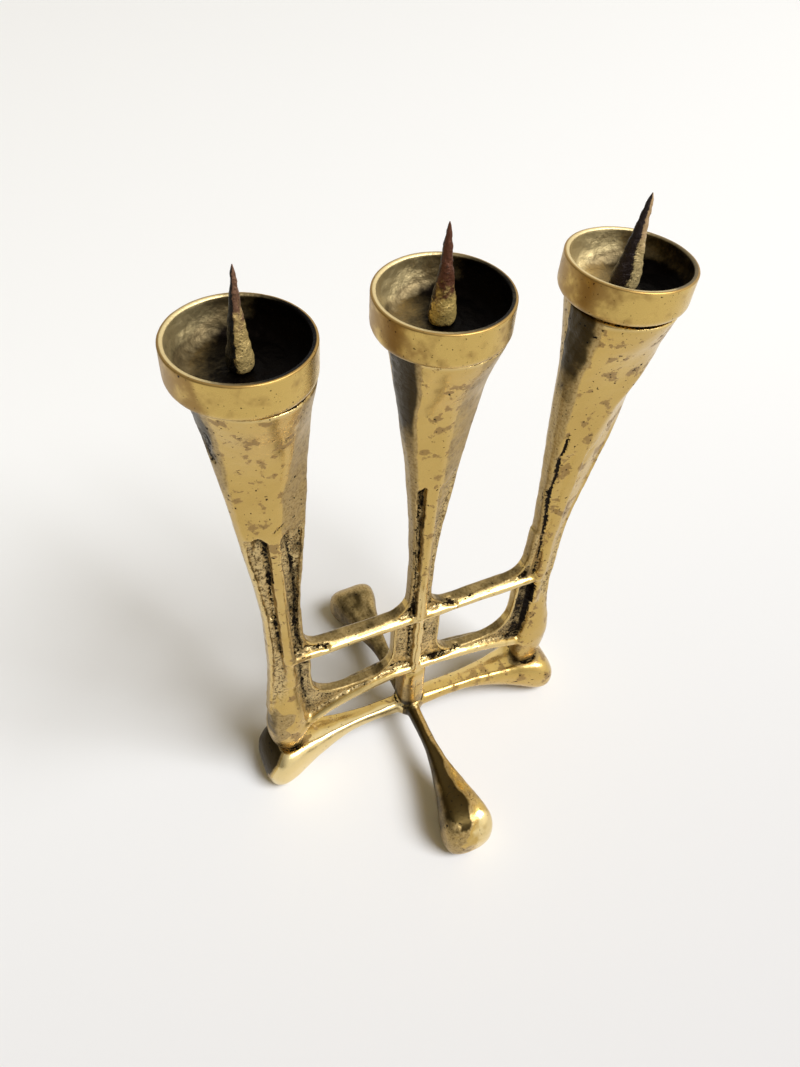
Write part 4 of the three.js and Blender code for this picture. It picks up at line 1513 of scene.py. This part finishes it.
    def leg_field(self, leg: Leg, x: Field, y: Field, z: Field) -> Field:
        """Measure one leg.

        Args:
            leg: The leg.
            x: Places to the right.
            y: Places to the back.
            z: Heights over the table.

        Returns:
            The distances, negative inside.
        """
        shoulder = leg.reach - self.toe_length
        along, across = leg.turned(x, y)
        half, underside, top, valley = through(
            (0, leg.waist, self.top - self.thickness, self.top, 0),
            (0.6 * shoulder, leg.waist, self.top - self.thickness, self.top, 0.5 * self.valley),
            (shoulder, 0.6 * leg.toe, 0.3 * self.top, self.top + 0.5 * self.rise, self.valley),
            (leg.reach - self.toe_rounding, leg.toe, -1, self.top + self.rise, self.valley),
            (leg.reach, leg.toe, -1, self.top - self.rise, 0.5 * self.valley),
        )(along)
        share = np.clip((along - leg.reach + self.toe_rounding) / self.toe_rounding, 0, 1)
        full = np.sqrt(1 - (1 - self.toe_nose**2) * share**3)
        middle = self.nose + (0.5 * (top + underside) - self.nose) * full
        dip = valley * np.cos(np.clip(across / half, -1, 1) * math.pi / 2) ** 2
        up = (z - middle + np.where(z > middle, dip, 0)) / (0.5 * full * (top - underside))
        tube = rounded_box_field(across / (half * full), up, 1, 1, self.squareness)
        return smooth_max(tube * np.minimum(half, 8.0), np.maximum(along - leg.reach, -along - 3), 2.5)


@dataclass
class Cup:
    """Shallow cup on an arm's mouth, turned outside and rough inside, its bowl painted pale on the wall that
    faces the lamp and black on the far wall, and paler the higher its worn value.
    """

    side: Side
    # Shift of how pale the bowl is painted
    worn: float
    radius: float = CUP_RADIUS
    height: float = 12
    lip: float = 2
    floor: float = 2.2
    bore: float = 2.8
    foot_radius: float = CUP_FOOT
    seat_radius: float = 13
    pad_radius: float = 6
    pad_rise: float = 0.4
    edge: float = 0.5
    bowl_edge: float = 0.3
    segments: int = 144

    def placement(self) -> Matrix:
        """Return the cup's place and lean, in millimetres."""
        arm = ARMS[self.side]
        turn = Matrix.Rotation(-arm.lean[1], 4, "X") @ Matrix.Rotation(arm.lean[0], 4, "Y")
        return Matrix.Translation((arm.cup, 0, FRAME_BASE + arm.cup_height())) @ turn

    def profile(self) -> Field:
        """Draw the cup's section, from under the floor round to its bore.

        Returns:
            Rows of radius, height and whether it is inside, as 0 or 1.
        """
        rounding, bowl = self.radius - self.foot_radius, self.radius - self.lip
        brink, reach = self.height - self.edge, bowl + self.bowl_edge - self.seat_radius
        depth = brink - self.floor
        rows = [(r, 0, 0) for r in np.linspace(self.bore, self.foot_radius, 12)]
        rows += [(self.foot_radius + rounding * math.sin(a), rounding * (1 - math.cos(a)), 0)
                 for a in np.linspace(0.2, math.pi / 2, 7)]
        rows += [(self.radius, h, 0) for h in np.linspace(rounding + 0.8, self.height - 0.6, 12)]
        rows += [(self.radius - self.edge * (1 - math.cos(a)), brink + self.edge * math.sin(a), 0)
                 for a in np.linspace(0.3, math.pi / 2, 4)]
        rows += [(self.radius - 0.8, self.height, 1), (bowl + 0.45, self.height - 0.1, 1)]
        rows += [(self.seat_radius + reach * math.cos(a), brink - depth * math.sin(a), 1)
                 for a in np.linspace(0, math.pi / 2, 22)]
        rows += [(r, self.floor + self.pad_rise * smooth_step(self.pad_radius + 1, self.pad_radius - 1, r), 1)
                 for r in np.linspace(self.seat_radius, self.bore, 22)[1:]]
        return np.array(rows, float)

    def build(self) -> bpy.types.Object:
        """Turn the cup, roughen its bowl and set it on its arm."""
        radius, height, inside = self.profile().T[:, :, None]
        angles = np.linspace(0, 2 * math.pi, self.segments, endpoint=False)
        rings = np.broadcast_arrays(radius * np.cos(angles), radius * np.sin(angles), height, inside)
        x, y, z, inside = (numbers.ravel() for numbers in rings)
        turn = np.array(self.placement())
        points = np.stack([x, y, z], axis=-1) @ turn[:3, :3].T + turn[:3, 3]
        faces = ring_faces(len(radius), self.segments, True)
        piece = new_piece(f"{self.side.value}_cup_turned", points, faces)
        # The rim's top is painted paler inside, as a highlight, and darker outside
        rim = 0.5 * smooth_step(self.height - self.edge, self.height - 0.1, z)
        # Painted light in the bowl: the wall that faces the lamp goes pale and the far wall black, over a
        # sooty floor
        wall = np.clip((0.35 * y - 0.94 * x) / self.seat_radius, -1, 1)
        sooty = 0.8 * smooth_step(self.floor + 4.5, self.floor + 0.3, z)
        # Painted shade on the band's left side, away from the lamp
        mark(piece, inside=inside, level=z + 0.02 * x,
             shade_side=0.3 * smooth_step(-0.4, -0.95, x / self.radius) + rim,
             pale_side=(wall + self.worn - sooty + rim) * inside)
        rough = 0.22 * unevenness(points, 2.2, 5.0, 3) + 0.35 * unevenness(points, 9.0, 6.0)
        band = 0.05 * unevenness(points, 7.0, 9.0) + 0.03 * unevenness(points, 1.6, 2.0)
        deep = inside * smooth_step(0, 2.5, self.height - z)
        push_out(piece, points, rough * deep + band * (1 - inside))
        return piece


@dataclass
class Spike:
    """Rough pointed pin that holds the candle."""

    cup: Cup
    half_width: float
    half_depth: float
    bend: float
    reach: float = 29
    thinnest: float = 0.12
    cup_gap: float = 0.3
    sides: int = 40
    rings: int = 60

    def build(self) -> bpy.types.Object:
        """Loft the spike and roughen it."""
        base = self.cup.placement().translation
        rise = np.linspace(0, 1, self.rings)
        share = through((0, 0.92), (0.05, 1), (0.35, 0.7), (0.7, 0.36), (0.97, 0.1), (1, 0.03))(rise)[0]
        angles = np.linspace(0, 2 * math.pi, self.sides, endpoint=False)
        halves = (self.half_width, self.half_depth)
        wide, deep = (np.maximum(half * share, self.thinnest)[:, None] for half in halves)
        x = base.x + self.bend * (rise**2)[:, None] + wide * np.cos(angles)
        y = base.y + deep * np.sin(angles)
        foot = base.z + self.cup.floor + self.cup.pad_rise + self.cup_gap
        z = foot + self.reach * rise[:, None] + 0 * angles
        points = np.stack([x, y, z], axis=-1).reshape(-1, 3)
        faces = ring_faces(self.rings, self.sides)
        faces += [list(range(self.sides))[::-1], list(range(len(points) - self.sides, len(points)))]
        piece = new_piece(f"{self.cup.side.value}_spike_cast", points, faces)
        mark(piece, rise=np.repeat(rise, self.sides), shade_side=np.tile(-np.cos(angles + 0.7), self.rings))
        size = np.repeat(smooth_step(0, 0.12, 1 - rise), self.sides)
        bumps = 0.26 * unevenness(points, 2.0, 4.0, 3) + 0.15 * unevenness(points, 6.0, 8.0)
        push_out(piece, points, bumps * size)
        return piece


@dataclass(frozen=True)
class Studio:
    """Pale table, soft window light, plain room and the camera."""

    # Table colours: paler at the back, as painted light
    near: str = "#dedddb"
    far: str = "#f9f9f5"
    table_reach: float = 6.0
    table_roughness: float = 0.8
    lamp_place: tuple[float, float, float] = (3.1, -3.5, 6.75)
    lamp_aim: tuple[float, float, float] = (0, 0, 0.12)
    lamp_size: float = 4.0
    lamp_power: float = 815.0
    lamp_colour: tuple[float, float, float] = (0.89, 0.92, 1.0)
    room_warm: str = "#ffe9bc"
    room_plain: str = "#fffdf8"
    room_light: float = 0.23
    room_in_metal: Pair = (0.3, 1.15)
    room_seen: float = 0.95
    focal_mm: float = 27.412
    camera_mm: tuple[float, float, float] = (-93.165, -166.899, 366.601)
    camera_turn: tuple[tuple[float, float, float], ...] = (
        (0.9154556, 0.28140601, -0.28766596),
        (-0.40017796, 0.71193672, -0.57706473),
        (0.04241048, 0.64339471, 0.76435894),
    )

    def build(self) -> None:
        """Lay the table, hang the lamp, light the room and set the camera."""
        self.table()
        self.lamp()
        self.room()
        self.camera()
        bpy.context.scene.view_settings.view_transform = "Standard"

    def stand(self, name: str, data: bpy.types.ID) -> bpy.types.Object:
        """Put an object into the scene."""
        thing = bpy.data.objects.new(name, data)
        bpy.context.scene.collection.objects.link(thing)
        return thing

    def table(self) -> None:
        """Lay the table, painted paler to the back as painted light."""
        mesh = bpy.data.meshes.new("table_top")
        signs, reach = ((-1, -1), (1, -1), (1, 1), (-1, 1)), self.table_reach
        mesh.from_pydata([(reach * x, reach * y, 0) for x, y in signs], [], [(0, 1, 2, 3)])
        paint = bpy.data.materials.new("matt_pale_paper")
        paint.use_nodes = True
        graph = Graph(paint.node_tree)
        place = graph.add("SeparateXYZ", {0: graph.place})
        spot = graph.total(place.outputs["Y"], (place.outputs["X"], 0.04))
        # Painted light: the table goes from the near grey to the paler far colour
        colour = graph.blend(graph.ramp(spot, -0.35, 0.3), self.near, self.far)
        shader = graph.tree.nodes["Principled BSDF"]
        graph.feed(shader.inputs["Base Color"], colour)
        graph.feed(shader.inputs["Roughness"], self.table_roughness)
        mesh.materials.append(paint)
        self.stand("table_top", mesh)

    def lamp(self) -> None:
        """Hang a square soft lamp that faces the candelabra."""
        light = bpy.data.lights.new("window_lamp", "AREA")
        light.size, light.energy, light.color = self.lamp_size, self.lamp_power, self.lamp_colour
        turn = (Vector(self.lamp_aim) - Vector(self.lamp_place)).to_track_quat("-Z", "Y").to_matrix().to_4x4()
        self.stand("window_lamp", light).matrix_world = Matrix.Translation(self.lamp_place) @ turn

    def room(self) -> None:
        """Light the room at a plain level: dimmer to the left in metal, and a pale background for the eye."""
        world = bpy.data.worlds.new("pale_room")
        bpy.context.scene.world = world
        world.use_nodes = True
        graph = Graph(world.node_tree, "Generated")
        rays = graph.add("LightPath").outputs
        seen = graph.largest(rays["Is Camera Ray"], rays["Is Glossy Ray"])
        way = graph.add("SeparateXYZ", {0: graph.place}).outputs["X"]
        side = {"Value": way, "From Min": -0.7, "From Max": 0.4,
                "To Min": self.room_in_metal[0], "To Max": self.room_in_metal[1]}
        level = graph.between(seen, self.room_light, graph.add("MapRange", side).outputs["Result"])
        level = graph.between(rays["Is Camera Ray"], level, self.room_seen)
        background = graph.tree.nodes["Background"]
        graph.feed(background.inputs["Color"], graph.blend(seen, self.room_warm, self.room_plain))
        graph.feed(background.inputs["Strength"], level)

    def camera(self) -> None:
        """Set the camera where the photograph was taken."""
        data = bpy.data.cameras.new("camera")
        data.sensor_width = 36
        data.lens = self.focal_mm
        camera = self.stand("camera", data)
        place = Vector(self.camera_mm) * MM
        camera.matrix_world = Matrix.Translation(place) @ Matrix(self.camera_turn).to_4x4()
        bpy.context.scene.camera = camera


def fit(piece: bpy.types.Object, node: str, material: bpy.types.Material) -> None:
    """Give a piece its finish and let it stand for its node.

    Args:
        piece: The new object.
        node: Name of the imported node.
        material: Its material.
    """
    piece.data.materials.clear()
    piece.data.materials.append(material)
    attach(piece, "root")
    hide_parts(node)
    LOG.info("%s stands for %s: %d faces", piece.name, node, len(piece.data.polygons))


def main() -> None:
    """Build the candelabra's pieces in order, then the studio."""
    cast = CastBrass().material()
    turned = TurnedBrass().material()
    fit(FrameCasting().build(), "frame_casting", cast)
    fit(FootCasting().build(), "foot_casting", cast)
    left, centre, right = Cup(Side.LEFT, -0.2), Cup(Side.CENTRE, 0.15), Cup(Side.RIGHT, 0.7)
    spikes = [Spike(left, 3.5, 3.5, 1.0), Spike(centre, 3.9, 3.7, -0.3), Spike(right, 5.2, 3.2, 1.0)]
    bronzes = [
        SpikeBronze("cast_bronze_left", "#7a5840", "#dcbe78", "#0a0706", 0.5, -0.15),
        SpikeBronze("cast_bronze_centre", "#5e3620", "#d8ba6c", "#2c1c10", 0.3, 0.7),
        SpikeBronze("cast_bronze_right", "#b49468", "#dcc488", "#1c0e0a", 0.5, -0.5),
    ]
    for spike, bronze in zip(spikes, bronzes):
        side = spike.cup.side.value
        fit(spike.cup.build(), f"{side}_cup", turned)
        fit(spike.build(), f"{side}_spike", bronze.material())
    steel = PlainSteel().material()
    for name in ("hub_screw", "hub_washer"):
        for slot in bpy.data.objects[name].material_slots:
            slot.material = steel
    Studio().build()


if __name__ == "__main__":
    logging.basicConfig(level=logging.INFO)
    main()
